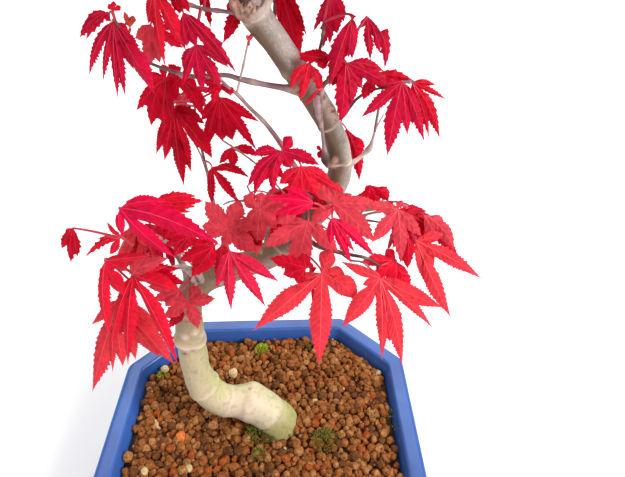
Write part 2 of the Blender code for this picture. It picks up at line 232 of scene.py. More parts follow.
def bumpOf(tree, height, depth, strength):
    # relief whose full height is a depth in mm
    return addNode(tree, "Bump", (), {"Height": height, "Distance": depth * mm,
                                      "Strength": strength}).outputs["Normal"]


def principled(tree, colour, roughness, more=()):
    # an opaque surface with a colour, a roughness and any further sockets
    return addNode(tree, "BsdfPrincipled", (), {"Base Color": colour, "Roughness": roughness, **dict(more)})


def glowingThrough(tree, surface, colour, share):
    # a thin surface, a share of which lets light through in its own colour
    glow = addNode(tree, "BsdfTranslucent", (), {"Color": colour})
    return addNode(tree, "MixShader", (), {0: share, 1: surface.outputs[0], 2: glow.outputs[0]})


leafColours = {  # base colours of the blades by the tint of their spray, and of the ribs
    "coral": ("#e03642", "#e85058"),
    "scarlet": ("#df1734", "#e53448"),
    "cherry": ("#de2047", "#e63c5a"),
    "ruby": ("#c60c37", "#ce2846"),
    "crimson": ("#c60427", "#cc1a34"),
    "pink": ("#de0c42", "#e42c56"),
    "rose": ("#d83f4d", "#e05862"),
    # dark: the red darkened as painted shade, for leaves that lie in shade
    "dark": ("#aa041c", "#b2162a"),
    "orange": ("#dc5848", "#ea8a7c"),
}

leafSkin = {
    "mottle": 4.0, "mottleShades": (0.72, 1.22),  # size of the mottling, darkest and lightest share
    "veinHalf": 0.11, "veinShade": 0.86,  # half width as a share of the vein pitch, share of the light
    "lobeShade": 0.08,  # how far lobes differ
    "puffed": 0.4, "crinkle": 1.6, "relief": 0.30, "reliefStrength": 0.55,
    "roughness": 0.46, "ior": 1.42, "specular": 0.12, "glow": 0.34, "ribRoughness": 0.42,
}


def leafMaterial(name, colour):
    # maple leaf blade: thin and satin, side veins sunk and a little darker, glowing against light
    made, tree, place = newMaterial(name)
    mottling = rangeOf(tree, noiseOf(tree, place, leafSkin["mottle"], 5.0, 0.65), 0.25, 0.75,
                       *leafSkin["mottleShades"])
    fromVein = mathOf(tree, "PINGPONG", attributeOf(tree, "veinRun"), 0.5)
    veins = rangeOf(tree, fromVein, 0.0, leafSkin["veinHalf"], leafSkin["veinShade"])
    lobe = mathOf(tree, "MULTIPLY_ADD", attributeOf(tree, "lobeTone"), leafSkin["lobeShade"], 1.0)
    light = mathOf(tree, "MULTIPLY", mathOf(tree, "MULTIPLY", mottling, veins), lobe)
    shade = addNode(tree, "HueSaturation", (), {"Color": linearColour(colour), "Value": light})
    tint = shade.outputs["Color"]
    puff = rangeOf(tree, fromVein, 0.0, leafSkin["puffed"], how="SMOOTHSTEP")
    relief = mathOf(tree, "ADD", puff, noiseOf(tree, place, leafSkin["crinkle"]))
    skin = principled(tree, tint, leafSkin["roughness"], {
        "IOR": leafSkin["ior"], "Specular IOR Level": leafSkin["specular"],
        "Normal": bumpOf(tree, relief, leafSkin["relief"], leafSkin["reliefStrength"])})
    return finishMaterial(made, tree, glowingThrough(tree, skin, tint, leafSkin["glow"]))


def leafRibMaterial(name, colour):
    # midrib of a leaf: paler and a little glossier than the blade
    made, tree, place = newMaterial(name)
    tint = noiseRamp(tree, place, 4.0, ((0.3, colour), (0.7, colour)))
    return finishMaterial(made, tree, principled(tree, tint, leafSkin["ribRoughness"]))


def petioleMaterial():
    # leaf stalk: thin, waxy and wine red
    made, tree, place = newMaterial("petiole_wax_skin")
    tint = noiseRamp(tree, place, 6.0, ((0.35, "#b01830"), (0.65, "#cc2a44")))
    return finishMaterial(made, tree, principled(tree, tint, 0.40))


def glazeMaterial():
    # reduction-fired blue glaze on stoneware: glassy, in darker and lighter patches, paler where it thins on
    # edges
    made, tree, place = newMaterial("blue_glaze_on_stoneware")
    body = noiseRamp(tree, place, 22.0, ((0.30, "#1a3f82"), (0.52, "#204c94"), (0.75, "#2a5aa2")))
    specks = noiseRamp(tree, place, 1.6, ((0.60, "#ffffff"), (0.74, "#b8c4ee")), 2.0)
    specked = mixOf(tree, 0.35, body, specks, "MULTIPLY")
    edged = mixOf(tree, attributeOf(tree, "thinGlaze"), specked, linearColour("#3c62aa"))
    bare = attributeOf(tree, "bareClay")
    clay = noiseRamp(tree, place, 1.2, ((0.35, "#7a5a44"), (0.65, "#94705a")))
    ripple = noiseOf(tree, place, 9.0, 2.0)
    glaze = principled(tree, mixOf(tree, bare, edged, clay), rangeOf(tree, bare, 0.0, 1.0, 0.17, 0.85), {
        "IOR": 1.50, "Specular IOR Level": 0.35, "Coat Weight": 0.2, "Coat Roughness": 0.06,
        "Normal": bumpOf(tree, ripple, 0.4, 0.25)})
    return finishMaterial(made, tree, glaze)


def granuleMaterial(name, dark, lightTone):
    # baked clay granule: matt, porous, dusted with its own crumbs
    made, tree, place = newMaterial(name)
    tint = noiseRamp(tree, place, 1.8, ((0.32, dark), (0.68, lightTone)))
    clay = principled(tree, tint, 0.92, {"Specular IOR Level": 0.25,
                                         "Normal": bumpOf(tree, noiseOf(tree, place, 0.5), 0.3, 0.6)})
    return finishMaterial(made, tree, clay)


def mossMaterial(name, dark, lightTone):
    # moss: soft matt leaflets with a little light coming through
    made, tree, place = newMaterial(name)
    tint = noiseRamp(tree, place, 2.5, ((0.30, dark), (0.70, lightTone)))
    return finishMaterial(made, tree, glowingThrough(tree, principled(tree, tint, 0.8), tint, 0.3))


barkStops = {  # colours of old wood up the trunk, and of young wood from pale grey to dark brown
    "old": ((0.0, "#8a7650"), (0.043, "#968454"), (0.052, "#ccbca2"), (0.105, "#ccbca2"),
            (0.16, "#c8b896"), (0.28, "#baa886"), (0.35, "#8e7c62"), (0.45, "#74634c"),
            (0.62, "#6e5c44"), (0.80, "#66503c"), (1.0, "#765e50")),
    "young": ((0.25, "#c2b6aa"), (0.60, "#98797b"), (0.80, "#7c5c5e"), (1.0, "#4e322e")),
}


def barkMaterial():
    # maple bark: thin and smooth, cream at the foot, greyer above where painted light pales the side facing
    # right, mauve on young wood, with rough scars
    made, tree, place = newMaterial("smooth_maple_bark")
    old = rampOf(tree, attributeOf(tree, "heightShare"), barkStops["old"])
    # painted light: this mark pales the upper trunk on its right-hand side as seen from the camera, for the
    # key lamp on the right, over greyer weathered bark; on boughs, twigs and the stub's callus it is an even
    # paler tone
    paleAndLit = attributeOf(tree, "sunSide")
    paled = mixOf(tree, paleAndLit, old, linearColour("#aca29b"))
    # pale flecks, laid only where the bark is paled, so they sit on the painted-light side
    litFlecks = noiseRamp(tree, place, 0.7, ((0.50, "#000000"), (0.66, "#b4b4b4")), 4.0)
    frosted = mixOf(tree, mathOf(tree, "MULTIPLY", litFlecks, paleAndLit), paled, linearColour("#dedad6"))
    green = mixOf(tree, attributeOf(tree, "greenSide"), frosted, linearColour("#b3b878"))
    mottle = noiseRamp(tree, place, 4.0, ((0.30, "#a09078"), (0.50, "#ffffff"), (0.72, "#ccd0a4")), 6.0)
    mottled = mixOf(tree, 0.38, green, mottle, "MULTIPLY")
    young = attributeOf(tree, "youngWood")
    lenticels = noiseRamp(tree, place, 3.0, ((0.3, "#c0b4b4"), (0.6, "#ffffff")), 4.0)
    freckled = mixOf(tree, 0.7, rampOf(tree, young, barkStops["young"]), lenticels, "MULTIPLY")
    aged = mixOf(tree, rangeOf(tree, young, 0.0, 0.25), mottled, freckled)
    ringed = mixOf(tree, attributeOf(tree, "ringScar"), aged, linearColour("#dcc4b0"))
    heart = noiseRamp(tree, place, 1.7, ((0.33, "#34201a"), (0.43, "#8a6250"), (0.64, "#c29c88")), 5.0)
    colour = mixOf(tree, attributeOf(tree, "cutWood"), ringed, heart)
    grain = noiseOf(tree, place, 0.9, 5.0)
    bark = principled(tree, colour, 0.58, {"Normal": bumpOf(tree, grain, 0.25, 0.45)})
    return finishMaterial(made, tree, bark)


def floorMaterial():
    # matt painted board
    made, tree, place = newMaterial("matt_white_board")
    tint = noiseRamp(tree, place, 400.0, ((0.3, studio["floor"]), (0.7, "#fafafa")))
    return finishMaterial(made, tree, principled(tree, tint, 0.9, {"Specular IOR Level": 0.1}))


# ---- meshes from arrays

def unit(vectors):
    # each vector over its own length
    return vectors / np.maximum(np.linalg.norm(vectors, axis=-1, keepdims=True), 1e-9)


def gridFaces(rows, columns, closed):
    # four corners of each cell of a grid of points; closed joins the last column to the first
    row, column = np.meshgrid(np.arange(rows - 1), np.arange(columns if closed else columns - 1),
                              indexing="ij")
    after = (column + 1) % columns
    corners = [row * columns + column, row * columns + after,
               (row + 1) * columns + after, (row + 1) * columns + column]
    return np.stack(corners, axis=-1).reshape(-1, 4)


def closedFaces(rows, columns):
    # faces of a grid closed round its columns, then the fans that close its first and its last row;
    # their poles are the two points after the grid
    first = np.arange(columns)
    after = (first + 1) % columns
    last = first + (rows - 1) * columns
    pole = np.full(columns, rows * columns)
    return [gridFaces(rows, columns, True), np.stack([pole, after, first], axis=1),
            np.stack([last, last[after], pole + 1], axis=1)]


def ringAngles(sides):
    # angles of the points round a ring, in equal steps
    return 2 * np.pi * np.arange(sides) / sides


def bell(away, half):
    # one in the middle, fading with the square of the distance over a half length
    return np.exp(-(away / half) ** 2)


def rampUp(values, start, length):
    # nought up to a start, then growing evenly to one over a length
    return np.clip((values - start) / length, 0, 1)


def degreesFrom(angle, middle):
    # signed difference of two angles, the short way round
    return (angle - middle + 180) % 360 - 180


def joinParts(parts):
    # parts are dictionaries of points, faces and per-point or per-face arrays; faces are renumbered
    joined = {}
    shift = 0
    faces = []
    for part in parts:
        faces += [face + shift for face in part["faces"]]
        shift += len(part["points"])
    joined["faces"] = faces
    for key in parts[0]:
        if key != "faces":
            joined[key] = np.concatenate([part[key] for part in parts])
    return joined


def addPiece(name, part, materials, smooth=True, merge=0.0):
    # a mesh object at the origin from points in mm, with its attributes and materials
    mesh = bpy.data.meshes.new(name)
    faces = [face.tolist() for block in part["faces"] for face in block]
    mesh.from_pydata((part["points"] * mm).tolist(), [], faces)
    for key, values in part.items():
        if key in ("points", "faces", "material"):
            continue
        layer = mesh.attributes.new(key, "FLOAT", "POINT")
        layer.data.foreach_set("value", values.astype(np.float32))
    for made in materials:
        mesh.materials.append(made)
    if "material" in part:
        mesh.polygons.foreach_set("material_index", part["material"].astype(np.int32))
    if merge:
        bm = bmesh.new()
        bm.from_mesh(mesh)
        bmesh.ops.remove_doubles(bm, verts=bm.verts, dist=merge * mm)
        bmesh.ops.dissolve_degenerate(bm, edges=bm.edges, dist=merge * mm)
        bm.to_mesh(mesh)
        bm.free()
    mesh.polygons.foreach_set("use_smooth", np.full(len(mesh.polygons), smooth))
    mesh.update()
    piece = bpy.data.objects.new(name, mesh)
    bpy.context.scene.collection.objects.link(piece)
    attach(piece, "root")
    print(name, len(mesh.polygons), "faces")
    return piece


def smoothCurve(points, stations):
    # a curve through points of any size, each span a cubic set by its four nearest points
    points = np.asarray(points, float)
    stations = np.atleast_1d(np.asarray(stations, float))
    last = len(points) - 1
    i = np.clip(np.floor(stations).astype(int), 0, last - 1)
    u = (stations - i)[:, None]
    a, b, c, d = (points[np.clip(i + k, 0, last)] for k in (-1, 0, 1, 2))
    return 0.5 * (2 * b + (c - a) * u + (2 * a - 5 * b + 4 * c - d) * u ** 2
                  + (3 * b - a - 3 * c + d) * u ** 3)


def evenCurve(points, step):
    # the curve through points, read again at equal steps along its length
    fine = smoothCurve(points, np.linspace(0, len(points) - 1, 40 * len(points)))
    length = np.concatenate([[0], np.cumsum(np.linalg.norm(np.diff(fine[:, :3], axis=0), axis=1))])
    count = max(3, int(round(length[-1] / step)) + 1)
    wanted = np.linspace(0, length[-1], count)
    return np.stack([np.interp(wanted, length, fine[:, k]) for k in range(fine.shape[1])], axis=1)


def carriedFrame(path):
    # the direction along a path and two directions across it, carried from ring to ring without twist
    along = unit(np.gradient(path, axis=0))
    side = np.cross(along[0], (0.0, 1.0, 0.0) if abs(along[0][1]) < 0.9 else (1.0, 0.0, 0.0))
    across = np.empty_like(path)
    for k, ahead in enumerate(along):
        side = side - ahead * (side @ ahead)
        side = side / np.linalg.norm(side)
        across[k] = side
    return along, across, np.cross(along, across)


def ringArms(path, sides):
    # the direction along a path, and unit directions from each station to the points round it
    along, across, up = carriedFrame(path)
    turn = ringAngles(sides)
    return along, across[:, None] * np.cos(turn)[:, None] + up[:, None] * np.sin(turn)[:, None]


def limbSurface(path, radii):
    # a ring of points round each station of a path, at radii given for every ring and side, closed at
    # both ends by a pole that stands out by a share of the mean radius
    poleOut = 0.3
    along, arms = ringArms(path, radii.shape[1])
    points = (path[:, None] + arms * radii[..., None]).reshape(-1, 3)
    poles = np.stack([path[0] - along[0] * radii[0].mean() * poleOut,
                      path[-1] + along[-1] * radii[-1].mean() * poleOut])
    return {"points": np.vstack([points, poles]), "faces": closedFaces(*radii.shape)}


# ---- pot

pot = {
    "length": 180.0, "width": 156.0, "cornerCut": 37.0, "height": 60.0,
    "cornerRadius": 8.0, "cornerSteps": 8, "sideSteps": 12,
    "rimBand": 11.0, "rimLip": 3.5, "rimWidth": 9.5, "wallLean": 11.0, "innerLean": 12.0,
    "floor": 10.0, "footBand": 10.0, "underside": 6.0, "middleInset": 60.0,
    "archHeight": 4.0, "archEnds": 0.72, "archSoft": 0.18, "archFade": 7.0,
    "handmade": 0.25,  # how far hand finishing leaves the rim from true
    "waves": (17, 11, 23),  # wave lengths of that along, up and across the pot, over two pi
    "thinAt": {"out": (0.8, 1.6), "in": 1.4, "band": 1.4},  # inset and half widths of thin glaze
    "bareBelow": 2.5, "bareSoft": 1.2,  # height where the glaze ends, and over how much
    "rimDepth": (4, 5), "bandInset": 3,  # how deep the rim's edges reach outside and inside, the band's inset
    "underInset": 45, "underFoot": 8,  # the walls end short of this inset; bare clay inside the foot
    "wallRows": (0.035, 0.07, 0.14, 0.32, 0.55, 0.78),  # rows of the outer wall as shares of its height
}


def potOutline(inset):
    # the rim's outline moved in: a rectangle whose cut corners are joined by arcs, read side by side
    halfX = pot["length"] / 2 - inset
    halfY = pot["width"] / 2 - inset
    cut = pot["cornerCut"] - inset * (2 - math.sqrt(2))
    radius = max(pot["cornerRadius"] - inset * 0.25, 2.0)
    quarter = np.array([(halfX, halfY - cut), (halfX - cut, halfY)])
    corners = np.vstack([quarter, quarter[::-1] * (-1, 1), quarter * (-1, -1), quarter[::-1] * (1, -1)])
    toBefore = unit(np.roll(corners, 1, axis=0) - corners)
    toAfter = unit(np.roll(corners, -1, axis=0) - corners)
    half = np.arccos((toBefore * toAfter).sum(axis=1)) / 2
    centre = corners + unit(toBefore + toAfter) * (radius / np.sin(half))[:, None]
    start = corners + toBefore * (radius / np.tan(half))[:, None] - centre
    end = corners + toAfter * (radius / np.tan(half))[:, None] - centre
    sweep = np.pi - 2 * half
    share = np.linspace(0, 1, pot["cornerSteps"] + 1)
    weights = [np.sin((1 - share) * s) / np.sin(s) for s in sweep]
    others = [np.sin(share * s) / np.sin(s) for s in sweep]
    points = []
    for k in range(len(corners)):
        arc = centre[k] + weights[k][:, None] * start[k] + others[k][:, None] * end[k]
        nextStart = centre[(k + 1) % 8] + start[(k + 1) % 8]
        along = np.linspace(0, 1, pot["sideSteps"] + 1)[1:-1, None]
        points += [arc, arc[-1] + (nextStart - arc[-1]) * along]
    return np.vstack(points)


def innerInset(height):
    # inset of the inner wall: just inside the rim's width, plus its lean times the share of the depth
    depth = (pot["height"] - height) / (pot["height"] - pot["floor"])
    return pot["rimWidth"] + 0.5 + pot["innerLean"] * depth


def roundedProfile(corners, step):
    # a profile through corner points, each given as inset, height and radius, rounded by an arc
    points = []
    for k in range(1, len(corners) - 1):
        here = np.array(corners[k][:2])
        before = unit(np.array(corners[k - 1][:2]) - here)
        after = unit(np.array(corners[k + 1][:2]) - here)
        half = math.acos(np.clip(before @ after, -1, 1)) / 2
        reach = corners[k][2] / math.tan(half)
        t = np.linspace(0, 1, step)[:, None]
        points.append((1 - t) ** 2 * (here + before * reach) + 2 * t * (1 - t) * here
                      + t ** 2 * (here + after * reach))
    return np.vstack([[corners[0][:2]], *points, [corners[-1][:2]]])


def levelRow(outline, height):
    # an outline as points at one height
    return np.column_stack([outline, np.full(len(outline), height)])


def buildPot():
    # a profile of insets and heights carried round the outline; the foot is arched along each side
    height = pot["height"]
    foot = pot["rimLip"] + pot["wallLean"]
    band = height - pot["rimBand"]
    under, middle = pot["underside"], pot["middleInset"]
    corners = (  # inset, height, radius of the rounding
        (middle, under, 0), (foot + pot["footBand"] + 6.0, under, 1.5),
        (foot + pot["footBand"] - 0.5, 0.0, 0.6),
        (foot, 0.0, 0.9), (pot["rimLip"] + 0.4, band - 1.6, 1.4), (0.0, band - 0.2, 1.6),
        (0.0, height, 2.6), (pot["rimWidth"], height, 2.4),
        (innerInset(pot["floor"]), pot["floor"], 4.0), (middle, pot["floor"], 0),
    )
    profile = roundedProfile(corners, 7)
    # more rows on the outer wall, most of them low down where the glaze ends
    wall = np.argmax(np.diff(profile[:, 1]))
    steps = np.array(pot["wallRows"])[:, None]
    between = profile[wall] + steps * (profile[wall + 1] - profile[wall])
    profile = np.vstack([profile[:wall + 1], between, profile[wall + 1:]])
    rows = np.stack([levelRow(potOutline(min(inset, middle)), z) for inset, z in profile])
    alongX = np.abs(rows[..., 0]) / ((pot["length"] / 2 - pot["cornerCut"]) * pot["archEnds"])
    alongY = np.abs(rows[..., 1]) / ((pot["width"] / 2 - pot["cornerCut"]) * pot["archEnds"])
    nearest = np.minimum(alongX, alongY)
    arch = pot["archHeight"] * np.clip((1.0 - nearest) / pot["archSoft"], 0, 1) ** 0.5
    lowWall = np.clip(1 - rows[..., 2] / pot["archFade"], 0, 1)
    rows[..., 2] += arch * lowWall
    waveX, waveZ, waveY = pot["waves"]
    wobble = (pot["handmade"] * np.sin(rows[..., 0] / waveX + rows[..., 2] / waveZ)
              * np.sin(rows[..., 1] / waveY))
    outDepth, inDepth = pot["rimDepth"]
    rows[..., 2] += wobble * (rows[..., 2] > height - outDepth)
    count, around = rows.shape[:2]
    inset = np.repeat(profile[:, 0], around)
    z = rows[..., 2].reshape(-1)
    outAt, outHalf = pot["thinAt"]["out"]
    turnOut = bell(inset - outAt, outHalf) * (z > height - outDepth)
    turnIn = bell(inset - pot["rimWidth"], pot["thinAt"]["in"]) * (z > height - inDepth)
    bandFoot = bell(z - band, pot["thinAt"]["band"]) * (inset < pot["bandInset"])
    thin = np.clip(0.75 * (turnOut + turnIn) + 0.5 * bandFoot, 0, 1)
    bare = np.clip((pot["bareBelow"] - z) / pot["bareSoft"], 0, 1) * (inset < pot["underInset"])
    bare = bare + (inset > foot + pot["underFoot"]) * (z < pot["underFoot"])
    part = {
        "points": np.vstack([rows.reshape(-1, 3), [(0, 0, under)], [(0, 0, pot["floor"])]]),
        "faces": closedFaces(count, around),
        "thinGlaze": np.append(thin, (0, 0)),
        "bareClay": np.append(np.clip(bare, 0, 1), (1, 0)),
    }
    piece = addPiece("pot_glazed", part, [glazeMaterial()])
    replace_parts(piece, "pot")


# ---- soil, granules and moss

soil = {
    "top": 54.0,
    "spacing": 4.5, "jitter": 1.1,
    "radius": (1.8, 3.2),
    "edge": 2.6,  # granules keep this far from the wall
    "rockRows": 5, "rockColumns": 8, "rockShapes": 6, "rockCuts": 7,
    "cutDepth": (0.62, 0.95), "rough": (0.96, 1.04), "stretch": (0.82, 1.18),
    "seed": 11,
    "layers": {  # spacing as a share, middle above the soil's top and how far up and down from there
        "lower": (1.0, -2.2, 0.5), "upper": (1.12, -0.3, 0.8), "crumbs": (1.3, 0.4, 0.8),
    },
    "upperKept": 0.82, "crumbRadius": (0.6, 1.1),
    "sunk": 1.2, "sunkLength": 5,  # how much lower the granules lie at the wall
    "trunkFoot": (8.0, 1.5, 11.5),  # middle and radius of the ring round the trunk, kept clear
    "stoneLift": 1.2,  # middle of the loose stones above the soil's top
    "bed": {  # its gaps to the pot's floor and below the granules, insets of its rows and its lid's rows
        "above": 0.4, "below": 2.6, "corner": 3.0, "insets": (5.0, 1.6, 0.6), "lidRows": (0.35, 0.7),
        "colours": ("#2c1a0f", "#5a3a22"),
    },
}

looseStones = {  # piece: dark and light tone, then pixel and radius of each stone
    "stone_pale": ("#b8986c", "#dcc098", (((233, 373), 3.3), ((165, 369), 2.8))),
    "stone_orange": ("#b85a20", "#dc8040", (((181, 437), 3.0),)),
}

granuleTones = (  # name, dark and light tone, share of the granules
    ("granule_brown", "#663a1a", "#a0602b", 0.53),
    ("granule_tan", "#7c4e26", "#b07a48", 0.24),
    ("granule_dark", "#4c2a13", "#70431f", 0.14),
    ("granule_red", "#7a3514", "#a8541f", 0.075),
    ("granule_pale", "#a98a5e", "#cdb488", 0.015),
)


def insideMargin(points, inset):
    # least distance from the straight sides of the outline moved in, negative outside
    halfX = pot["length"] / 2 - inset
    halfY = pot["width"] / 2 - inset
    cut = pot["cornerCut"] - inset * (2 - math.sqrt(2))
    x, y = np.abs(points[..., 0]), np.abs(points[..., 1])
    corner = (halfX + halfY - cut - x - y) / math.sqrt(2)
    return np.minimum(np.minimum(halfX - x, halfY - y), corner)


def rockShape(draw):
    # a ball on a grid of angles whose radius is pushed in by a few flat cuts
    rows, columns = soil["rockRows"], soil["rockColumns"]
    polar = np.pi * (np.arange(rows) + 1) / (rows + 1)
    polar, azimuth = np.meshgrid(polar, ringAngles(columns), indexing="ij")
    ball = np.stack([np.sin(polar) * np.cos(azimuth), np.sin(polar) * np.sin(azimuth), np.cos(polar)],
                    axis=-1).reshape(-1, 3)
    ball = np.vstack([ball, (0, 0, 1), (0, 0, -1)])
    cuts = unit(draw.normal(size=(soil["rockCuts"], 3)))
    depth = draw.uniform(*soil["cutDepth"], soil["rockCuts"])
    reach = np.min(depth / np.maximum(ball @ cuts.T, 0.25), axis=1)
    ball = ball * np.minimum(reach, 1.0)[:, None] * draw.uniform(*soil["rough"], len(ball))[:, None]
    return ball, [faces[:, ::-1] for faces in closedFaces(rows, columns)]


def turnMatrices(draw, count):
    # random turns from random unit quaternions
    w, x, y, z = unit(draw.normal(size=(count, 4))).T
    rows = [[1 - 2 * (y * y + z * z), 2 * (x * y - z * w), 2 * (x * z + y * w)],
            [2 * (x * y + z * w), 1 - 2 * (x * x + z * z), 2 * (y * z - x * w)],
            [2 * (x * z - y * w), 2 * (y * z + x * w), 1 - 2 * (x * x + y * y)]]
    return np.array(rows).transpose(2, 0, 1)


def scatterRocks(places, radii, shapes, draw):
    # every place gets one of the shapes, turned and stretched at random, as one joined mesh
    kind = draw.integers(0, len(shapes), len(places))
    turns = turnMatrices(draw, len(places))
    stretch = draw.uniform(*soil["stretch"], (len(places), 3))
    points, faces = [], []
    shift = 0
    for k, (ball, blocks) in enumerate(shapes):
        mine = np.flatnonzero(kind == k)
        body = np.einsum("nij,nvj->nvi", turns[mine], ball[None] * stretch[mine][:, None])
        body = body * radii[mine][:, None, None] + places[mine][:, None]
        starts = shift + np.arange(len(mine)) * len(ball)
        faces += [(block[None] + starts[:, None, None]).reshape(-1, block.shape[1]) for block in blocks]
        points.append(body.reshape(-1, 3))
        shift += body.shape[0] * body.shape[1]
    return {"points": np.vstack(points), "faces": faces}


def soilPlaces(draw, layer):
    # a grid of hexagons, shaken, kept inside the wall and clear of the trunk
    share, lift, spread = soil["layers"][layer]
    spacing = soil["spacing"] * share
    columns = np.arange(-pot["length"] / 2, pot["length"] / 2, spacing)
    rows = np.arange(-pot["width"] / 2, pot["width"] / 2, spacing * math.sqrt(3) / 2)
    x, y = np.meshgrid(columns, rows)
    x = x + (np.arange(len(rows)) % 2)[:, None] * spacing / 2
    flat = np.stack([x.ravel(), y.ravel()], axis=1) + draw.uniform(-1, 1, (x.size, 2)) * soil["jitter"]
    margin = insideMargin(flat, innerInset(soil["top"]))
    footX, footY, footRadius = soil["trunkFoot"]
    away = np.hypot(flat[:, 0] - footX, flat[:, 1] - footY)
    keep = (margin > soil["edge"]) & (away > footRadius)
    z = soil["top"] + lift + draw.uniform(-spread, spread, len(flat))
    z = z - soil["sunk"] * np.exp(-margin / soil["sunkLength"])
    return np.column_stack([flat, z])[keep]


def addGranules(name, colours, places, radii, shapes, draw):
    # one piece of flat-faced granules in one colour
    part = scatterRocks(places, radii, shapes, draw)
    clay = granuleMaterial("baked_clay_" + name, *colours)
    addPiece(name, part, [clay], smooth=False)


def buildSoil():
    # three layers of granules shared out at random between the colours, then a few stones at set places
    draw = np.random.default_rng(soil["seed"])
    shapes = [rockShape(draw) for _ in range(soil["rockShapes"])]
    lower = soilPlaces(draw, "lower")
    upper = soilPlaces(draw, "upper")
    upper = upper[draw.uniform(size=len(upper)) < soil["upperKept"]]
    crumbs = soilPlaces(draw, "crumbs")
    places = np.vstack([lower, upper, crumbs])
    radii = np.concatenate([draw.uniform(*soil["radius"], len(lower) + len(upper)),
                            draw.uniform(*soil["crumbRadius"], len(crumbs))])
    order = draw.uniform(size=len(places))
    start = 0.0
    for name, dark, lightTone, share in granuleTones:
        mine = (order >= start) & (order < start + share)
        start += share
        addGranules(name, (dark, lightTone), places[mine], radii[mine], shapes, draw)
    draw = np.random.default_rng(soil["seed"] + 1)
    for name, (dark, lightTone, stones) in looseStones.items():
        middles = [pointAtHeight(pixel, soil["top"] + soil["stoneLift"]) for pixel, _ in stones]
        sizes = np.array([radius for _, radius in stones])
        addGranules(name, (dark, lightTone), np.array(middles), sizes, shapes, draw)


def buildBed():
    # fine crumbs under the granules: outlines stacked from the pot's floor up, closed by a flat lid
    bed = soil["bed"]
    floor = pot["floor"] + bed["above"]
    top = soil["top"] - bed["below"]
    outlines = [potOutline(innerInset(height) + inset)
                for height, inset in zip((floor, floor, top), bed["insets"])]
    rows = [levelRow(*row) for row in zip(outlines, (floor, floor + bed["corner"], top))]
    rows += [levelRow(outlines[-1] * (1 - share), top) for share in bed["lidRows"]]
    part = {"points": np.vstack(rows + [[(0, 0, floor)], [(0, 0, top)]]),
            "faces": closedFaces(len(rows), len(rows[0]))}
    crumbs = granuleMaterial("baked_clay_crumbs", *bed["colours"])
    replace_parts(addPiece("soil_bed", part, [crumbs]), "soil")


mossPatches = {  # pixel of the middle, radius in mm, height, count, tone
    "bright": ((262, 350), 3.6, 3.4, 150, "bright"),
    "foot": ((262, 430), 9.0, 2.6, 620, "dark"),
    "sprig": ((259, 455), 3.4, 2.4, 110, "dark"),
    "left": ((162, 375), 3.0, 2.2, 70, "bright"),
    "back": ((310, 345), 5.0, 1.4, 90, "dark"),
    "right": ((392, 420), 6.5, 1.5, 150, "dark"),
    "front": ((325, 440), 7.0, 2.2, 340, "dark"),
}

moss = {
    "seed": 23,
    "tones": {  # piece, dark and light tone, and how far above the soil's top its cushions stand
        "bright": ("moss_bright", "#8aa41c", "#c8d838", 1.0),
        "dark": ("moss_dark", "#4c5a18", "#86902c", 2.0),
    },
    "domed": 0.5, "upright": 0.8, "astray": 0.35,
    "length": (0.45, 0.8), "width": 0.24,  # of a leaflet: share of the cushion's height, of the length
}


def buildMoss():
    # each leaflet is a pointed blade of two bent halves, leaning out from the middle of its cushion
    draw = np.random.default_rng(moss["seed"])
    for tone, (name, dark, lightTone, above) in moss["tones"].items():
        blades = []
        for pixel, radius, height, count, mine in mossPatches.values():
            if mine != tone:
                continue
            middle = pointAtHeight(pixel, soil["top"] + above)
            turn = draw.uniform(0, 2 * np.pi, count)
            reach = np.sqrt(draw.uniform(0, 1, count))
            out = np.stack([np.cos(turn), np.sin(turn), np.zeros(count)], axis=1)
            rise = np.stack([np.zeros(count), np.zeros(count), np.ones(count)], axis=1)
            dome = height * (1 - reach ** 2) * moss["domed"]
            foot = middle + out * (reach * radius)[:, None] + rise * dome[:, None]
            stray = draw.normal(0, moss["astray"], (count, 3))
            lean = unit(out * (0.3 + reach)[:, None] + rise * moss["upright"] + stray)
            length = height * draw.uniform(*moss["length"], count)
            across = unit(np.cross(lean, draw.normal(size=(count, 3))))
            across = across * (length * moss["width"])[:, None]
            tip = foot + lean * length[:, None]
            belly = foot + lean * (length * 0.5)[:, None]
            fold = np.cross(lean, across) * 0.5
            corners = [foot, belly + across + fold, belly, belly - across + fold, tip]
            blades.append(np.stack(corners, axis=1))
        body = np.concatenate(blades)
        base = np.arange(len(body))[:, None] * 5
        quads = np.vstack([base + (0, 1, 4, 2), base + (0, 2, 4, 3)])
        part = {"points": body.reshape(-1, 3), "faces": [quads]}
        addPiece(name, part, [mossMaterial("moss_" + tone, dark, lightTone)])


# ---- trunk, boughs and twigs

trunkLine = (  # x, y, z and diameter, from below the soil to the tip
    (8, -5, 44, 23), (7, -4, 56, 21.5), (-1, -2, 66, 20.5), (-13, 0, 70, 20), (-25, -1, 75.5, 18.5),
    (-31, -2, 88, 17), (-33, -2, 104, 15), (-33, -1, 122, 14.5), (-31.5, 0, 140, 13.2),
    (-29, 1, 155, 13), (-22, 3, 164.5, 12.8), (-7, 6, 169.5, 12.6), (10, 8, 175.5, 12),
    (23, 8, 188, 11.2), (33.5, 6, 204, 10.3), (39, 5, 214.5, 9.8), (40.5, 3.5, 225, 9),
    (38, 1, 238, 8.6), (32, -1, 251, 8.6), (25, -3, 263, 8.7), (18, -4.5, 274, 8.8),
    (12, -6, 284.5, 8.8), (12, -4, 296, 7.4), (17, -1, 311, 6), (23, 2, 326, 4.6), (26, 4, 340, 3),
)

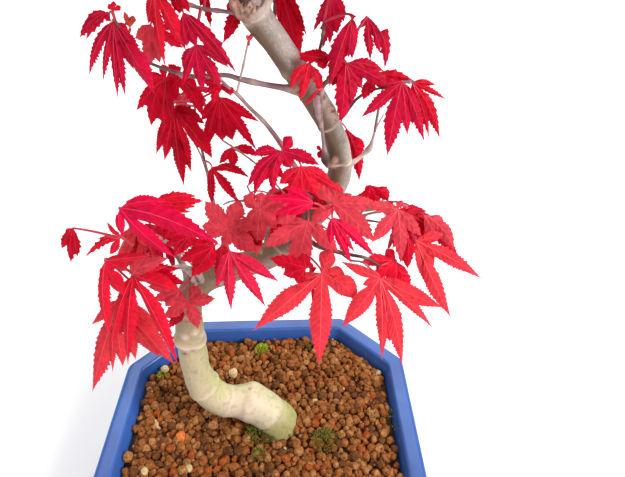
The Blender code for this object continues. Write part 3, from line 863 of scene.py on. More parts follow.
trunk = {
    "sides": 48, "step": 0.8,
    "flare": 0.12, "flareLength": 8.0,
    "uneven": 0.035,  # share by which the girth wanders
    "ringTilt": 0.9, "ringUneven": 0.25, "scarHalf": 0.45,  # of the scar rings
    "young": (0.86, 0.14),  # shares of the length: where young wood starts and over how much it grows
    "greyed": ((0.36, 0.10), (0.60, 0.10)), "lit": (0.74, 0.04),  # the same for the greyer upper part, and for the top, where the painted light on the right-hand side reaches further round
    "greenTint": ((0.16, 0.14, 0.75), (0.9, 0.8, 0.35)),  # middle, half length and strength of the green
    "rings": (  # station, swelling as a share, half length, colour of the scar ring
        (1.42, -0.09, 1.1, 0.0), (2.55, 0.13, 4.4, 0.25), (3.55, 0.05, 1.4, 0.5),
        (5.1, 0.07, 1.6, 0.5), (7.35, 0.16, 2.6, 0.7), (9.1, 0.06, 1.5, 0.4),
        (10.6, 0.05, 1.4, 0.4), (12.4, 0.05, 1.3, 0.4), (14.1, 0.05, 1.2, 0.3),
        (16.25, 0.05, 0.7, 0.9), (17.55, 0.06, 0.9, 0.6), (18.85, 0.07, 2.0, 0.20),
        (20.9, 0.10, 2.2, 0.6), (22.2, 0.10, 1.6, 0.4), (23.2, 0.08, 1.4, 0.4), (24.1, 0.08, 1.2, 0.4),
    ),
    "knobs": (  # station, degrees round the trunk from facing the viewer, height, half size, pinkness
        (7.75, -25, 1.6, 2.2, 0.8), (7.9, 20, 1.5, 2.0, 0.8), (7.65, 55, 1.2, 2.0, 0.7),
        (2.45, 10, 1.3, 2.6, 0.5), (18.3, 20, 0.9, 2.4, 0.5), (18.6, 60, 0.8, 1.6, 0.4),
        (19.3, -60, 1.0, 1.8, 0.3), (11.2, 30, 0.8, 2.0, 0.2), (12.9, -20, 0.8, 1.8, 0.2),
        (9.6, 0, 1.0, 2.4, 0.2), (15.2, 20, 0.6, 1.6, 0.3), (17.8, 44, 1.0, 2.6, 0.4),
        (16.3, -48, 1.6, 1.8, 0.9), (3.35, 82, -3.0, 5.0, 0.0), (3.6, 40, -1.2, 4.0, 0.0),
    ),
    "holes": (  # station, degrees, depth, half size: bud hollows and pruning scars, raised if below nought
        (2.74, 44, 1.5, 1.1), (18.35, 40, 0.8, 0.9), (8.5, -10, 0.7, 1.6), (7.1, -32, 0.7, 1.2),
        (7.25, 2, 0.5, 0.9), (11.9, -35, 0.5, 1.2), (13.3, 15, 0.5, 1.0),
        (17.66, 42, -1.2, 1.6), (17.92, 46, -1.0, 1.6), (18.8, -62, -0.6, 1.4), (16.5, -36, -1.0, 1.5),
    ),
}

stub = {  # pruning wound
    "station": 21.13, "degrees": -6.0, "radius": 6.0, "lift": 3.2, "rings": 24, "sides": 40, "seed": 5,
    "profile": (  # from the buried skirt over the callus into the wood: share, reach, lift
        (0, 0.2, 0.34, 0.45, 1.0), (0.70, 0.98, 1.05, 0.92, 0.0), (-4.5, -1.0, 0.3, 0.9, 1.6)),
    "hollows": ((2.4, 0.0, 2.6, 2.2), (-2.6, 1.0, 2.3, 1.8)),  # sideways, upwards, depth, spread
    "callusAt": -45.0, "callusHalf": 68.0, "callusIn": 0.66,  # degrees round it, share inwards
    "leanUp": 0.35, "buried": 2.0,  # how far it leans along the trunk, depth of its pole
    "lumpWaves": (2, 3, 5, 7, 11), "lumpReach": 0.05, "lumpLift": 0.5, "grain": 0.30,
    "heightShare": 0.72, "plainPaling": 0.2, "cutWood": 0.85,
}

boughTable = {  # station on the trunk, points on the way and the end, diameters at both ends
    "bough_left_low": (9.3, ((-33, -6, 174), (-42, -16, 188)), (-46, -22, 184), 4.0, 2.4),
    "bough_left_front": (9.9, ((-19, -10, 180), (-19, -24, 204)), (-24, -40, 228), 3.8, 2.4),
    "bough_left_back": (9.5, ((-34, 14, 169), (-42, 24, 178)), (-47, 32, 176), 3.8, 2.4),
    "bough_inner_front": (11.4, ((-3, -6, 184),), (-1, -18, 202), 3.2, 2.2),
    "bough_middle_front": (12.6, ((20, -6, 192), (25, -18, 200)), (26, -26, 192), 3.6, 2.4),
    "bough_middle_rising": (
        14.2, ((26.5, 2, 215), (21, 0, 230.5), (14, -2, 243), (8, -4, 253)), (-3, -11, 270), 3, 2),
    "bough_right_front": (13.6, ((38, -4, 192), (49, -14, 193)), (57, -22, 190), 3.6, 2.4),
    "bough_right": (14.4, ((45.5, 4, 203), (57, 0, 206)), (70, -4, 204), 3.6, 2.4),
    "bough_right_back": (14.2, ((46, 16, 200), (58, 26, 194)), (66, 34, 184), 3.6, 2.4),
    "bough_back_low": (12, ((8, 22, 184), (3, 38, 182)), (1, 52, 174), 3.8, 2.4),
    "bough_upper_left": (
        18.7, ((12.5, -3, 261), (5, -2, 264), (-1.5, -1, 266.5), (-12, 0, 267.5)), (-24, -1, 272),
        2.7, 2),
    "bough_back_left": (
        10.9, ((-11, 14, 183), (-15, 22, 194), (-17, 28, 207)), (-21, 36, 226), 3.4, 2.2),
    "bough_front_shoot": (
        16.3, ((36, -4, 231), (32.5, -7, 237), (31.5, -9, 248), (32, -10, 256)), (38, -12, 270),
        3.2, 2.2),
    "bough_upper_right": (17.6, ((41, 1, 247), (44, -3, 254)), (56, -8, 259), 2.8, 2),
    "bough_back_right": (16.2, ((49, 9, 226), (53, 12, 228), (55, 15, 234)), (58, 25, 244), 2.8, 2),
    "bough_upper_back": (20.4, ((17, 5, 278),), (17, 19, 281), 2.6, 2),
    "bough_crown_left": (22.4, ((4, -5, 304), (-10, -4, 311)), (-22, -2, 314), 3, 2.2),
    "bough_crown_right": (22.1, ((24, -4, 302), (42, -2, 304)), (56, 0, 306), 3, 2.2),
    "bough_crown_back": (21.7, ((13, 8, 298), (16, 24, 302)), (17, 36, 304), 3, 2.2),
    "bough_crown_front": (23, ((16, -14, 316), (17, -24, 320)), (17, -32, 322), 2.8, 2),
}

boughs = {
    "taper": 0.60,  # girth at the tip as a share of the solid model's
    "slender": {"bough_front_shoot": 0.48, "bough_right_front": 0.68, "bough_middle_front": 0.70,
                "bough_right": 0.68, "bough_left_low": 0.72, "bough_left_front": 0.72,
                "bough_back_right": 0.66, "bough_back_left": 0.5, "bough_upper_left": 0.76,
                "bough_middle_rising": 0.80, "bough_upper_back": 0.7, "bough_inner_front": 0.75,
                "bough_upper_right": 0.46},
    "thinEnd": {"bough_back_right": 0.36, "bough_front_shoot": 0.9},  # instead of the taper
    "tone": {  # from pale grey, 0.3, over mauve, 0.7, to dark brown, 1, at both ends
        "bough_upper_left": (0.58, 0.98), "bough_middle_rising": (0.62, 0.72),
        "bough_front_shoot": (0.70, 0.64), "bough_upper_right": (0.9, 1.0),
        "bough_back_right": (0.32, 0.45), "bough_right_front": (0.85, 1.0),
        "bough_left_low": (0.3, 0.4), "bough_left_front": (0.35, 0.6), "bough_left_back": (0.4, 0.6),
        "bough_inner_front": (0.26, 0.3), "bough_right": (0.4, 0.3), "bough_back_left": (0.5, 0.55),
    },
    "route": {  # pixels with depths that the seen boughs follow closely
        "bough_front_shoot": ((333, 166, 6), (328.5, 166, 1), (326, 161, -2.5), (324.6, 151, -5),
                              (323, 138, -7.5), (321.6, 125, -9), (320.8, 112, -9.5), (320.3, 98, -10.5),
                              (323, 89, -11)),
        "bough_back_right": ((344, 165, 3), (350, 164, 6), (358, 159, 9), (366, 152, 11), (370, 147, 12),
                             (372.5, 140, 13), (375, 131, 14), (380, 121, 16), (384, 114, 18)),
        "bough_upper_left": ((302, 90, -3), (285, 88, -4), (262, 84, -4), (240, 79, -4), (225, 75, -4),
                             (205, 77, -4), (185, 75, -5), (165, 69, -6), (147, 62, -6)),
        "bough_middle_rising": ((314, 200, 8), (300, 175, 2), (283, 147, 0), (266, 124, -2),
                                (249, 107, -3), (238, 95, -4), (228, 87, -5), (219, 78, -8)),
        "bough_upper_right": ((330, 120, 1), (342, 117, -2), (350, 107, -4), (358, 98, -6),
                              (370, 91, -8), (385, 88, -10), (394, 92, -8)),
        "bough_right_front": ((300, 232, 8), (313, 243, 2), (324, 248, -6), (338, 252, -12),
                              (352, 255, -16), (366, 258, -19), (380, 266, -20)),
        "bough_left_low": ((196, 286, 0), (190, 272, -8), (178, 267, -14), (160, 274, -20),
                           (142, 277, -24), (128, 290, -20)),
        "bough_inner_front": ((240, 266, 4), (232, 256, -4), (226, 246, -10), (223, 238, -14)),
        "bough_middle_front": ((284, 250, 8), (292, 246, 0), (300, 246, -8), (304, 252, -16)),
    },
    "darker": {"bough_front_shoot": ((0.31, 0.32, 3.8), (0.95, 0.16, 2.4))},  # place, tone added, half length
    "sides": 14, "step": 1.0,
    "collar": 0.35, "collarLength": 2.2,
    "nodes": (12.0, 0.16, 1.3),  # spacing, swelling and half length of the bud nodes
    "plainTone": (0.65, 0.8),
    "swollen": {"bough_back_right": ((0.50, 1.0, 2.0),),
                "bough_front_shoot": ((0.31, 1.5, 3.8), (0.93, 0.9, 2.6)),
                "bough_upper_left": ((0.02, 0.5, 3.0), (0.36, 0.15, 2.0))},
}

twigs = {  # the seen ones, then those inside the leaf masses with their radius at both ends
    "sides": 10, "step": 1.0, "nodes": (8.0, 0.4, 0.8),
    "inner": {"sides": 7, "tone": 0.8, "nodes": (8.0, 0.35, 0.7), "radii": (0.6, 0.4)},
}

twigRoutes = {  # thick and thin diameters, tone as of the boughs, then pixels with their depth
    "twig_pale": (0.8, 0.6, 0.35, ((237, 93, -4), (239, 84, -4), (241, 75, -5), (244, 62, -7), (248, 44, -6),
                                   (252, 34, -2), (259, 24, 1))),
    "twig_top_left": (1.3, 1.0, 0.6, ((240, 14, -5), (228, 12, -5), (212, 10, -5), (200, 8, -4),
                                      (191, 5, -4), (160, -4, -6))),
    "twig_left_low": (1.3, 0.9, 0.3, ((194, 270, -4), (186, 266, -12), (176, 266, -18), (160, 274, -22))),
    "twig_right_mid": (1.3, 1.0, 0.3, ((348, 220, 4), (360, 217, -2), (372, 213, -6), (396, 209, -10))),
    "twig_right_low": (1.0, 0.8, 0.8, ((346, 214, 2), (360, 219, -5), (378, 222, -8), (384, 224, -8))),
    "twig_front_low": (0.8, 0.6, 0.9, ((338, 251, -12), (350, 260, -18), (362, 262, -22), (372, 270, -24))),
    "twig_shoot_tip": (1.2, 0.8, 0.9, ((321, 90, -10.5), (328, 80, -11), (334, 70, -11), (338, 50, -10))),
    "twig_dark_hang": (1.0, 0.8, 1.0, ((319, 52, -6), (321, 44, -7), (323, 34, -8), (324, 22, -8))),
    "twig_right_tip": (1.2, 0.9, 0.9, ((385, 88, -10), (394, 84, -11), (404, 82, -11), (414, 82, -4))),
    "twig_far_left": (1.0, 0.7, 0.9, ((147, 62, -6), (138, 50, -8), (127, 38, -8), (115, 20, -9))),
    "twig_back_left": (0.9, 0.7, 0.5, ((215, 205, 26), (208, 178, 28), (202, 158, 30), (195, 144, 32))),
    "twig_shoulder": (1.3, 0.8, 0.7, ((200, 262, -6), (190, 244, -24), (176, 226, -36), (150, 212, -42),
                                      (120, 209, -47))),
    "twig_middle_cross": (0.8, 0.6, 0.6, ((222, 140, 20), (240, 152, 18), (256, 164, 12), (274, 182, 6),
                                          (290, 200, 4))),
}


limb = {  # what trunk, boughs and twigs share
    "wavesRound": 5, "wavePitch": (9.0, 40.0),  # of the slow unevenness: fewer than this round, pitch along
    "uneven": 0.05, "waves": 4,
    "firstNode": 3.0, "calmStart": 6.0, "nodeScar": 0.25,
    "heightShare": 0.7, "sunSide": 0.6,
}


def planted(points):
    # the tables of trunk, boughs and masses are set out from the middle of the tree
    moved = np.array(points, float)
    moved[..., 1] += treeBehind
    return moved


def trunkRadius(diameter, z):
    # half the diameter, widened near the soil by a share that fades with height
    above = np.maximum(z - soil["top"], 0.0)
    return diameter / 2 * (1 + trunk["flare"] * np.exp(-above / trunk["flareLength"]))


def slowNoise(along, turn, draw, waves=6):
    # smooth unevenness: a few sine waves round and along the limb with random phases
    total = np.zeros(np.broadcast(along, turn).shape)
    for k in range(waves):
        around = draw.integers(1, limb["wavesRound"])
        pitch = draw.uniform(*limb["wavePitch"])
        total = total + np.sin(along * 2 * np.pi / pitch + around * turn + draw.uniform(0, 2 * np.pi))
    return total / math.sqrt(waves)


def stationOf(path):
    # station on the trunk line of each ring, by its share of the length between two table points
    fine = np.linspace(0, len(trunkLine) - 1, 2000)
    places = smoothCurve(planted(trunkLine), fine)[:, :3]
    gaps = ((path[:, None] - places[None]) ** 2).sum(axis=2)
    return fine[np.argmin(gaps, axis=1)]


def bumpShape(stations, length, station, angle, degrees, radius, half):
    # a round bump: a bell of the distance from its middle along and round the limb
    away = length - np.interp(station, stations, length)
    arc = np.radians(degreesFrom(angle, degrees)) * radius
    return np.exp(-((away[:, None] / half) ** 2 + (arc / half) ** 2))


def ringAttribute(values):
    # values of the rings, then of the two poles
    return np.concatenate([values.ravel(), [values[0].mean(), values[-1].mean()]])


def markBark(part, shape, **marks):
    # the marks that the bark's colours read, each spread over all rings and sides
    for key, values in marks.items():
        part[key] = ringAttribute(np.broadcast_to(values, shape))
    return part


def buildTrunk(draw):
    # half diameters along the middle line times slow unevenness, then rings that swell by a bell along
    # the trunk, and knobs and hollows that rise or sink by a bell round a spot
    rings = evenCurve(planted(trunkLine), trunk["step"])
    path = rings[:, :3]
    stations = stationOf(path)
    length = np.arange(len(path)) * trunk["step"]
    turn = ringAngles(trunk["sides"])
    along, arms = ringArms(path, trunk["sides"])
    toEye = unit(eye - path)
    rightOf = unit(np.cross(along, toEye))
    facing = unit(toEye - along * (toEye * along).sum(axis=1)[:, None])
    angle = np.degrees(np.arctan2((arms * rightOf[:, None]).sum(axis=2),
                                  (arms * facing[:, None]).sum(axis=2)))
    radius = trunkRadius(rings[:, 3], path[:, 2])[:, None] * np.ones(trunk["sides"])
    radii = radius * (1 + trunk["uneven"] * slowNoise(length[:, None], turn[None], draw))
    ringScar = np.zeros_like(radii)
    cutWood = np.zeros_like(radii)
    for station, swelling, half, scar in trunk["rings"]:
        tilt = trunk["ringTilt"] * np.sin(turn + station * 2.0)[None]
        away = np.interp(station, stations, length) + tilt - length[:, None]
        radii += radius * swelling * bell(away, half) * (1 + trunk["ringUneven"] * np.sin(3 * turn + station))
        ringScar = np.maximum(ringScar, scar * bell(away, half * trunk["scarHalf"]))
    for station, degrees, height, half, pink in trunk["knobs"]:
        spot = bumpShape(stations, length, station, angle, degrees, radius, half)
        radii += height * spot
        ringScar = np.maximum(ringScar, pink * spot)
    for station, degrees, depth, half in trunk["holes"]:
        spot = bumpShape(stations, length, station, angle, degrees, radius, half)
        radii -= depth * spot
        cutWood = np.maximum(cutWood, spot ** 0.5 * (spot > 0.1))
    share = np.clip(length / length[-1], 0, 1)[:, None]
    # green laid on the lower trunk's right-hand side, as seen from the camera, and round its foot
    toRight = np.clip(np.sin(np.radians(angle)), 0, 1)
    (lowAt, lowHalf, lowGreen), (footAt, footHalf, footGreen) = trunk["greenTint"]
    green = (lowGreen * toRight * bell(share - lowAt, lowHalf)
             + footGreen * bell(stations - footAt, footHalf)[:, None])
    greyed, greyer = (rampUp(share, *span) for span in trunk["greyed"])
    lit = rampUp(share, *trunk["lit"])
    # painted light: the side facing right as seen from the camera is paled, for light from the right, on the
    # greyer upper trunk
    fromLight = np.clip(0.04 + 0.11 * lit + np.sin(np.radians(angle + 20 * lit)), 0, 1)
    part = markBark(limbSurface(path, radii), radii.shape, heightShare=share,
                    youngWood=rampUp(share, *trunk["young"]), ringScar=ringScar, cutWood=cutWood,
                    greenSide=np.clip(green, 0, 1),
                    sunSide=0.95 * (greyed * (0.5 + 0.5 * greyer)) * fromLight)
    return part, path


def buildStub():
    # pruning wound: a callus ring round rough broken wood with two hollows, on a polar grid
    draw = np.random.default_rng(stub["seed"])
    base = smoothCurve(planted(trunkLine), stub["station"])[0]
    ahead = unit(smoothCurve(planted(trunkLine), stub["station"] + 0.1)[0, :3] - base[:3])
    toEye = unit(eye - base[:3])
    right = unit(np.cross(ahead, toEye))
    facing = unit(toEye - ahead * (toEye @ ahead))
    turn = math.radians(stub["degrees"])
    out = unit(facing * math.cos(turn) + right * math.sin(turn) + ahead * stub["leanUp"])
    sideways = unit(np.cross(ahead, out))
    upward = np.cross(out, sideways)
    rings, sides = stub["rings"], stub["sides"]
    share = np.linspace(0, 1, rings)[:, None]
    angle = ringAngles(sides)[None]
    reach = stub["radius"] * (1 + 0.10 * np.sin(2 * angle + 0.6) + 0.06 * np.sin(3 * angle))
    at, reachShares, lifts = stub["profile"]
    radial = np.interp(share, at, reachShares) * reach
    lift = np.interp(share, at, lifts) + stub["lift"]
    # a smooth crescent of callus on one side
    fromCallus = degreesFrom(np.degrees(angle), stub["callusAt"])
    callus = (np.exp(-(fromCallus / stub["callusHalf"]) ** 4)
              * np.clip((stub["callusIn"] - share) / 0.08, 0, 1))
    rough = rampUp(share, 0.12, 0.10) * (1 - 0.92 * callus)
    # chipped fibres: coarse lumps over fine ones
    lumps = sum(math.sqrt(1 / k) * np.sin(k * angle + draw.uniform(0, 6.3)) * np.sin(k * 3.1 * share + k)
                for k in stub["lumpWaves"])
    radial = radial * (1 + stub["lumpReach"] * lumps * np.clip(share * 5, 0, 1) * (1 - share))
    x, y = radial * np.cos(angle), radial * np.sin(angle)
    hollows = sum(-depth * np.exp(-((x - atX) ** 2 + (y - atY) ** 2) / spread)
                  for atX, atY, depth, spread in stub["hollows"])
    grain = draw.normal(0, stub["grain"], (rings, sides))
    lift = lift + rough * (stub["lumpLift"] * lumps + grain + hollows)
    middle = base[:3]
    points = middle + out * lift[..., None] + sideways * x[..., None] + upward * y[..., None]
    points = np.vstack([points.reshape(-1, 3), middle - out * stub["buried"]])
    ringScar = np.maximum(0.35 * bell(share - 0.30, 0.05), 0.30 * callus)
    rough = np.broadcast_to(stub["cutWood"] * rough, (rings, sides))
    none = np.zeros(len(points))
    return {"points": points, "faces": closedFaces(rings, sides)[:2],
            "heightShare": np.full(len(points), stub["heightShare"]), "youngWood": none,
            "ringScar": np.append(ringScar.ravel(), 0), "cutWood": np.append(rough.ravel(), 0),
            "greenSide": none,
            "sunSide": np.append(np.maximum(stub["plainPaling"], callus).ravel(), stub["plainPaling"])}


def limbPart(path, radius, sides, young, draw, nodes):
    # a limb whose girth swells at each bud node, with a thin scar ring there; the nodes are given by
    # their spacing, swelling and half length
    spacing, swelling, half = nodes
    length = np.concatenate([[0], np.cumsum(np.linalg.norm(np.diff(path, axis=0), axis=1))])
    noise = slowNoise(length[:, None], ringAngles(sides)[None], draw, limb["waves"])
    radii = radius[:, None] * (1 + limb["uneven"] * noise)
    phase = (length - draw.uniform(limb["firstNode"], spacing)) % spacing
    away = np.minimum(phase, spacing - phase)
    bud = bell(away, half)[:, None] * rampUp(length, 0, limb["calmStart"])[:, None]
    radii = radii * (1 + swelling * bud)
    return markBark(limbSurface(path, radii), radii.shape, heightShare=limb["heightShare"],
                    youngWood=np.reshape(young, (-1, 1)), ringScar=limb["nodeScar"] * bud, cutWood=0.0,
                    greenSide=0.0, sunSide=limb["sunSide"])


def seenRoute(seen, step):
    # an even curve through points given by their pixel and depth
    return evenCurve([pointAtDepth(point[:2], point[2]) for point in seen], step)


sheath = {  # dried bud scales along the upper half of the front shoot
    "route": ((316.8, 95, -10.6), (317.2, 104, -10.2), (318.4, 114, -9.8), (320.6, 127, -9.2)),
    "thick": 3.2, "thin": 0.7, "tone": 0.60, "seed": 8, "sides": 14, "step": 0.6,
    "nodes": (4.5, 0.22, 0.8),
}


def buildSheath():
    # a limb that narrows downwards, lumpy from closely set nodes
    path = seenRoute(sheath["route"], sheath["step"])
    radius = np.linspace(sheath["thick"], sheath["thin"], len(path)) / 2
    return limbPart(path, radius, sheath["sides"], sheath["tone"], np.random.default_rng(sheath["seed"]),
                    sheath["nodes"])


def buildBoughs(draw):
    # boughs start on the trunk's middle line, widen into a collar there and taper to their tips
    parts, lines = [], {}
    for name, (station, way, end, thick, thin) in boughTable.items():
        origin = smoothCurve(planted(trunkLine), station)[0]
        if name in boughs["route"]:
            path = seenRoute(boughs["route"][name], boughs["step"])
        else:
            path = evenCurve([origin[:3], *planted([*way, end])], boughs["step"])
        share = np.linspace(0, 1, len(path))
        out = np.linalg.norm(path - origin[:3], axis=1)
        outside = np.maximum(out - origin[3] / 2, 0)
        collar = boughs["collar"] * np.exp(-(outside / boughs["collarLength"]))
        taper = boughs["thinEnd"].get(name, boughs["taper"])
        slender = boughs["slender"].get(name, 1.0) * (1 + (taper - 1) * share ** 2)
        radius = (thick + (thin - thick) * share) / 2 * slender * (1 + collar)
        for where, swelling, half in boughs["swollen"].get(name, ()):
            radius = radius * (1 + swelling * bell((share - where) * len(path), half))
        first, last = boughs["tone"].get(name, boughs["plainTone"])
        young = first + (last - first) * share
        for where, more, half in boughs["darker"].get(name, ()):
            young = young + more * bell((share - where) * len(path), half)
        parts.append(limbPart(path, radius, boughs["sides"], young, draw, boughs["nodes"]))
        lines[name] = path
    return parts, lines


# ---- leaves

blade = {
    "toothPitch": 2.4,  # along the longest lobe of a leaf seen close
    "teeth": (5, 17),   # least and greatest number on each side of a lobe
    "rowsBelow": 4,  # rows between the base and the notch beside a lobe
    "notch": (0.10, 0.50),  # least and greatest distance of that notch, as a share of the shorter lobe
    "width": 0.125,  # half width of a lobe grown by rule, as a share of its length
    "widest": 0.36,  # where it is widest, between its notch and its tip
    "crowd": 0.50,   # share of the room between two lobes that each may fill
    "layer": 0.7,    # every other lobe stands this far in front
    "rib": 0.14,
    "quilt": 0.03,   # depth of the quilting between side veins
    "quiltPitch": 3.4,
    "taper": (1.25, 1.8), "bulge": 1.6,  # least and greatest power of the narrowing, swell before it
    "toothWeights": (0.35, 0.9),  # how much a tooth's depth takes from the lobe's width and tooth length
    "toothForward": 0.22, "toothFade": 0.30,  # lean of the teeth, share of a lobe over which they grow
    "notchAt": (0.08, 0.5),  # least and greatest place of the notch along the midrib
    "middleAt": 0.45,   # where along a lobe its midrib bends
    "liftSpread": (0.7, 1.3), "bendSpread": (-0.06, 0.06), "foldSpread": (0.9, 1.9),
    "teethSpread": (0.6, 1.4), "depthSpread": (0.5, 1.6),
    "arch": 0.10,    # how far a lobe's midrib stands up, as a share of its length
    "toothDepth": 0.17,
    "perTooth": 3,   # points of a tooth, then where they lie along it and how far they stand out
    "stride": (0.24, 0.66, 1.0), "standOut": (-0.15, 0.35, 1.0),
    "foldTeeth": 2.0,   # teeth beyond the notch until the edge is folded in full
    "veinPitch": 3.0,   # between side veins, along the midrib
    "veinSlant": 1.2,   # how far forward a side vein runs for its way outwards
    "columns": (-1.0, -0.55, -0.01, 0.01, 0.55, 1.0),
}


def leafBlade(base, tips, normal, teeth, draw, widths, bows, fold):
    # A hand-shaped blade. Each lobe has a curved midrib from the base to its tip. Its two edges run
    # straight to the notch that it shares with its neighbour, then swell and taper with saw teeth.
    arch = blade["arch"]
    out = tips - base
    length = np.linalg.norm(out, axis=1)
    axis = unit(unit(out).sum(axis=0) - normal * (unit(out).sum(axis=0) @ normal))
    sideways = np.cross(normal, axis)
    order = np.argsort(np.arctan2(out @ sideways, out @ axis))
    count = len(tips)
    apartBy = normal * (blade["layer"] * (np.arange(count) % 2))[:, None]
    tips, out, length = tips[order] + apartBy, out[order] + apartBy, length[order]
    along0 = unit(out)
    side0 = unit(np.cross(normal, along0))
    lift = normal * (arch * length)[:, None] * draw.uniform(*blade["liftSpread"], (count, 1))
    bend = length * draw.uniform(*blade["bendSpread"], count) if bows is None else -2 * bows[order]
    control = base + out * blade["middleAt"] + lift + side0 * bend[:, None]
    between = np.arccos(np.clip((along0[1:] * along0[:-1]).sum(axis=1), -1, 1))
    halfAngle = np.sin(np.maximum(between, 0.05) / 2)
    if widths is None:
        # lobes grown by rule are narrower where they stand close together
        room = np.minimum(np.append(halfAngle, 0.5), np.append(0.5, halfAngle))
        grown = blade["width"] * (0.7 * length + 0.3 * length.max())
        full = np.minimum(grown, length * room * blade["crowd"])
    else:
        full = widths[order]
    plump = full / length
    # notches between neighbours, further out for wide lobes; the outermost edges have one of their own
    share = np.clip(0.45 + 1.6 * (plump - 0.1), 0.45, 0.74) * full
    notchReach = (share[1:] + share[:-1]) / 2 / halfAngle
    least, most = blade["notch"]
    shorter = np.minimum(length[1:], length[:-1])
    notchReach = np.clip(notchReach, least * shorter, most * shorter)
    inner = (base + unit(along0[1:] + along0[:-1]) * notchReach[:, None]
             + normal * (notchReach * arch)[:, None])
    outerReach = 1.6 * full[[0, -1]]
    outerWay = unit(along0[[0, -1]] + side0[[0, -1]] * np.array([[-0.55], [0.55]]))
    outer = base + outerWay * outerReach[:, None]
    lowNotch = np.vstack([outer[:1], inner])
    highNotch = np.vstack([inner, outer[1:]])
    rowsBelow = blade["rowsBelow"]
    perTooth = blade["perTooth"]
    above = teeth * perTooth
    tooth = np.arange(above) // perTooth
    step = np.arange(above) % perTooth
    stride = np.array(blade["stride"])[step]
    outward = np.array(blade["standOut"])[step]
    # teeth of uneven length, one starting where the last ended
    gaps = draw.uniform(*blade["teethSpread"], (count, teeth))
    ends = np.cumsum(gaps, axis=1)
    u = (ends - gaps)[:, tooth] + gaps[:, tooth] * stride
    u = u / ends[:, -1:]
    u[:, -1] = 1.0

    def midrib(t):
        # a quadratic curve from the base over the control point to the tip
        t = t[..., None]
        return ((1 - t) ** 2 * base + 2 * t * (1 - t) * control[:, None] + t ** 2 * tips[:, None])

    def heading(t):
        # the slope of that curve
        t = t[..., None]
        return unit(2 * (1 - t) * (control[:, None] - base) + 2 * t * (tips[:, None] - control[:, None]))

    def edge(notch, sign):
        # up to the notch on a straight line, beyond it the midrib plus the half width sideways
        notchShare = np.clip(((notch - base) * along0).sum(axis=1) / length, *blade["notchAt"])
        share = notchShare[:, None] + (1 - notchShare[:, None]) * u
        middle = midrib(share)
        ahead = heading(share)
        side = unit(np.cross(normal, ahead)) * sign
        atNotch = midrib(notchShare[:, None])[:, 0]
        startWidth = np.linalg.norm(notch - atNotch, axis=1)
        taper = np.clip(1.5 - 5.0 * (plump - 0.1), *blade["taper"])[:, None]
        rise = np.clip(u / blade["widest"], 0, 1)
        rise = 0.5 * rise * (2 - rise) + 0.5 * rise * rise * (3 - 2 * rise)
        toTip = np.clip((1 - u) / (1 - blade["widest"]), 0, 1)
        fall = toTip ** taper * (1 + blade["bulge"] * (1 - toTip))
        half = np.where(u < blade["widest"], startWidth[:, None] + (full - startWidth)[:, None] * rise,
                        full[:, None] * fall)
        fromWidth, fromLength = blade["toothWeights"]
        deep = blade["toothDepth"] * (fromWidth * full + fromLength * length / teeth)[:, None]
        deep = deep * draw.uniform(*blade["depthSpread"], (count, teeth))[:, tooth]
        teethOut = outward * deep * np.clip(fall * 1.3, 0, 1) * np.clip(u / blade["toothFade"], 0, 1)
        forward = outward * deep * blade["toothForward"] * fall
        sawn = middle + side * (half + teethOut)[..., None] + ahead * forward[..., None]
        plain = middle + side * half[..., None]
        sawn[:, -1] = plain[:, -1] = tips
        below = np.arange(1, rowsBelow + 1) / rowsBelow
        lowPoints = base + (notch - base)[:, None] * below[None, :, None]
        widening = startWidth[:, None] * below[None]
        return (np.concatenate([lowPoints, sawn], axis=1), np.concatenate([lowPoints, plain], axis=1),
                np.concatenate([notchShare[:, None] * below[None], share], axis=1),
                np.concatenate([widening, half], axis=1),
                np.concatenate([widening, half + teethOut], axis=1))

    left = edge(lowNotch, -1.0)
    right = edge(highNotch, 1.0)
    share = (left[2] + right[2]) / 2
    middle = midrib(share)
    middle[:, -1] = tips
    ahead = heading(share)
    side = unit(np.cross(normal, ahead))
    up = unit(np.cross(ahead, side))
    foldBy = fold * draw.uniform(*blade["foldSpread"], (count, 1))
    rows, runs = [], []
    rib = blade["rib"] * np.clip(length / 30.0, 0.5, 1.2)[:, None] * (1 - share * 0.85)
    distance = share * length[:, None]
    for column in blade["columns"]:
        away = abs(column)
        sawn, plain, _, half, reach = left if column < 0 else right
        target, wide = (sawn, reach) if away > 0.9 else (plain, half * away)
        if away < 0.1:
            rows.append(middle + side * (np.sign(column) * np.minimum(rib, half * 0.5))[..., None])
            runs.append(distance / blade["veinPitch"])
            continue
        point = middle + (target - middle) * away
        halfHere = np.maximum(half, 1e-6)
        wave = np.sin(2 * np.pi * (distance - away * half * 1.1) / blade["quiltPitch"])
        height = blade["quilt"] * wave * np.clip(half / 3.0, 0, 1) * (0.4 + 0.6 * (away < 0.9))
        pastNotch = (np.arange(share.shape[1]) - rowsBelow + 1) / perTooth
        beyond = np.clip(pastNotch / blade["foldTeeth"], 0, 1)
        if away < 0.9:
            beyond = np.clip(share * 5 - 0.6, 0, 1)
        else:
            height = height * beyond
        height = height - foldBy * halfHere * (wide / halfHere) ** 1.3 * beyond
        rows.append(point + up * height[..., None])
        runs.append((distance - away * half * blade["veinSlant"]) / blade["veinPitch"])
    grid = np.stack(rows, axis=2)
    hub = np.broadcast_to(base, (count, 1, grid.shape[2], 3))
    grid = np.concatenate([hub, grid], axis=1)
    veinRun = np.concatenate([np.zeros((count, 1, grid.shape[2])), np.stack(runs, axis=2)], axis=1)
    lobeTone = np.broadcast_to(draw.uniform(-1, 1, (count, 1, 1)), veinRun.shape)
    lobes, rowCount, columns = grid.shape[:3]
    faces = gridFaces(rowCount, columns, False)
    allFaces = (faces[None] + (np.arange(lobes) * rowCount * columns)[:, None, None]).reshape(-1, 4)
    strip = np.arange(len(faces)) % (columns - 1)
    isRib = np.tile((strip == (columns - 1) // 2), lobes)
    return grid.reshape(-1, 3), allFaces, isRib, veinRun.ravel(), lobeTone.ravel()


tintOrder = tuple(leafColours)
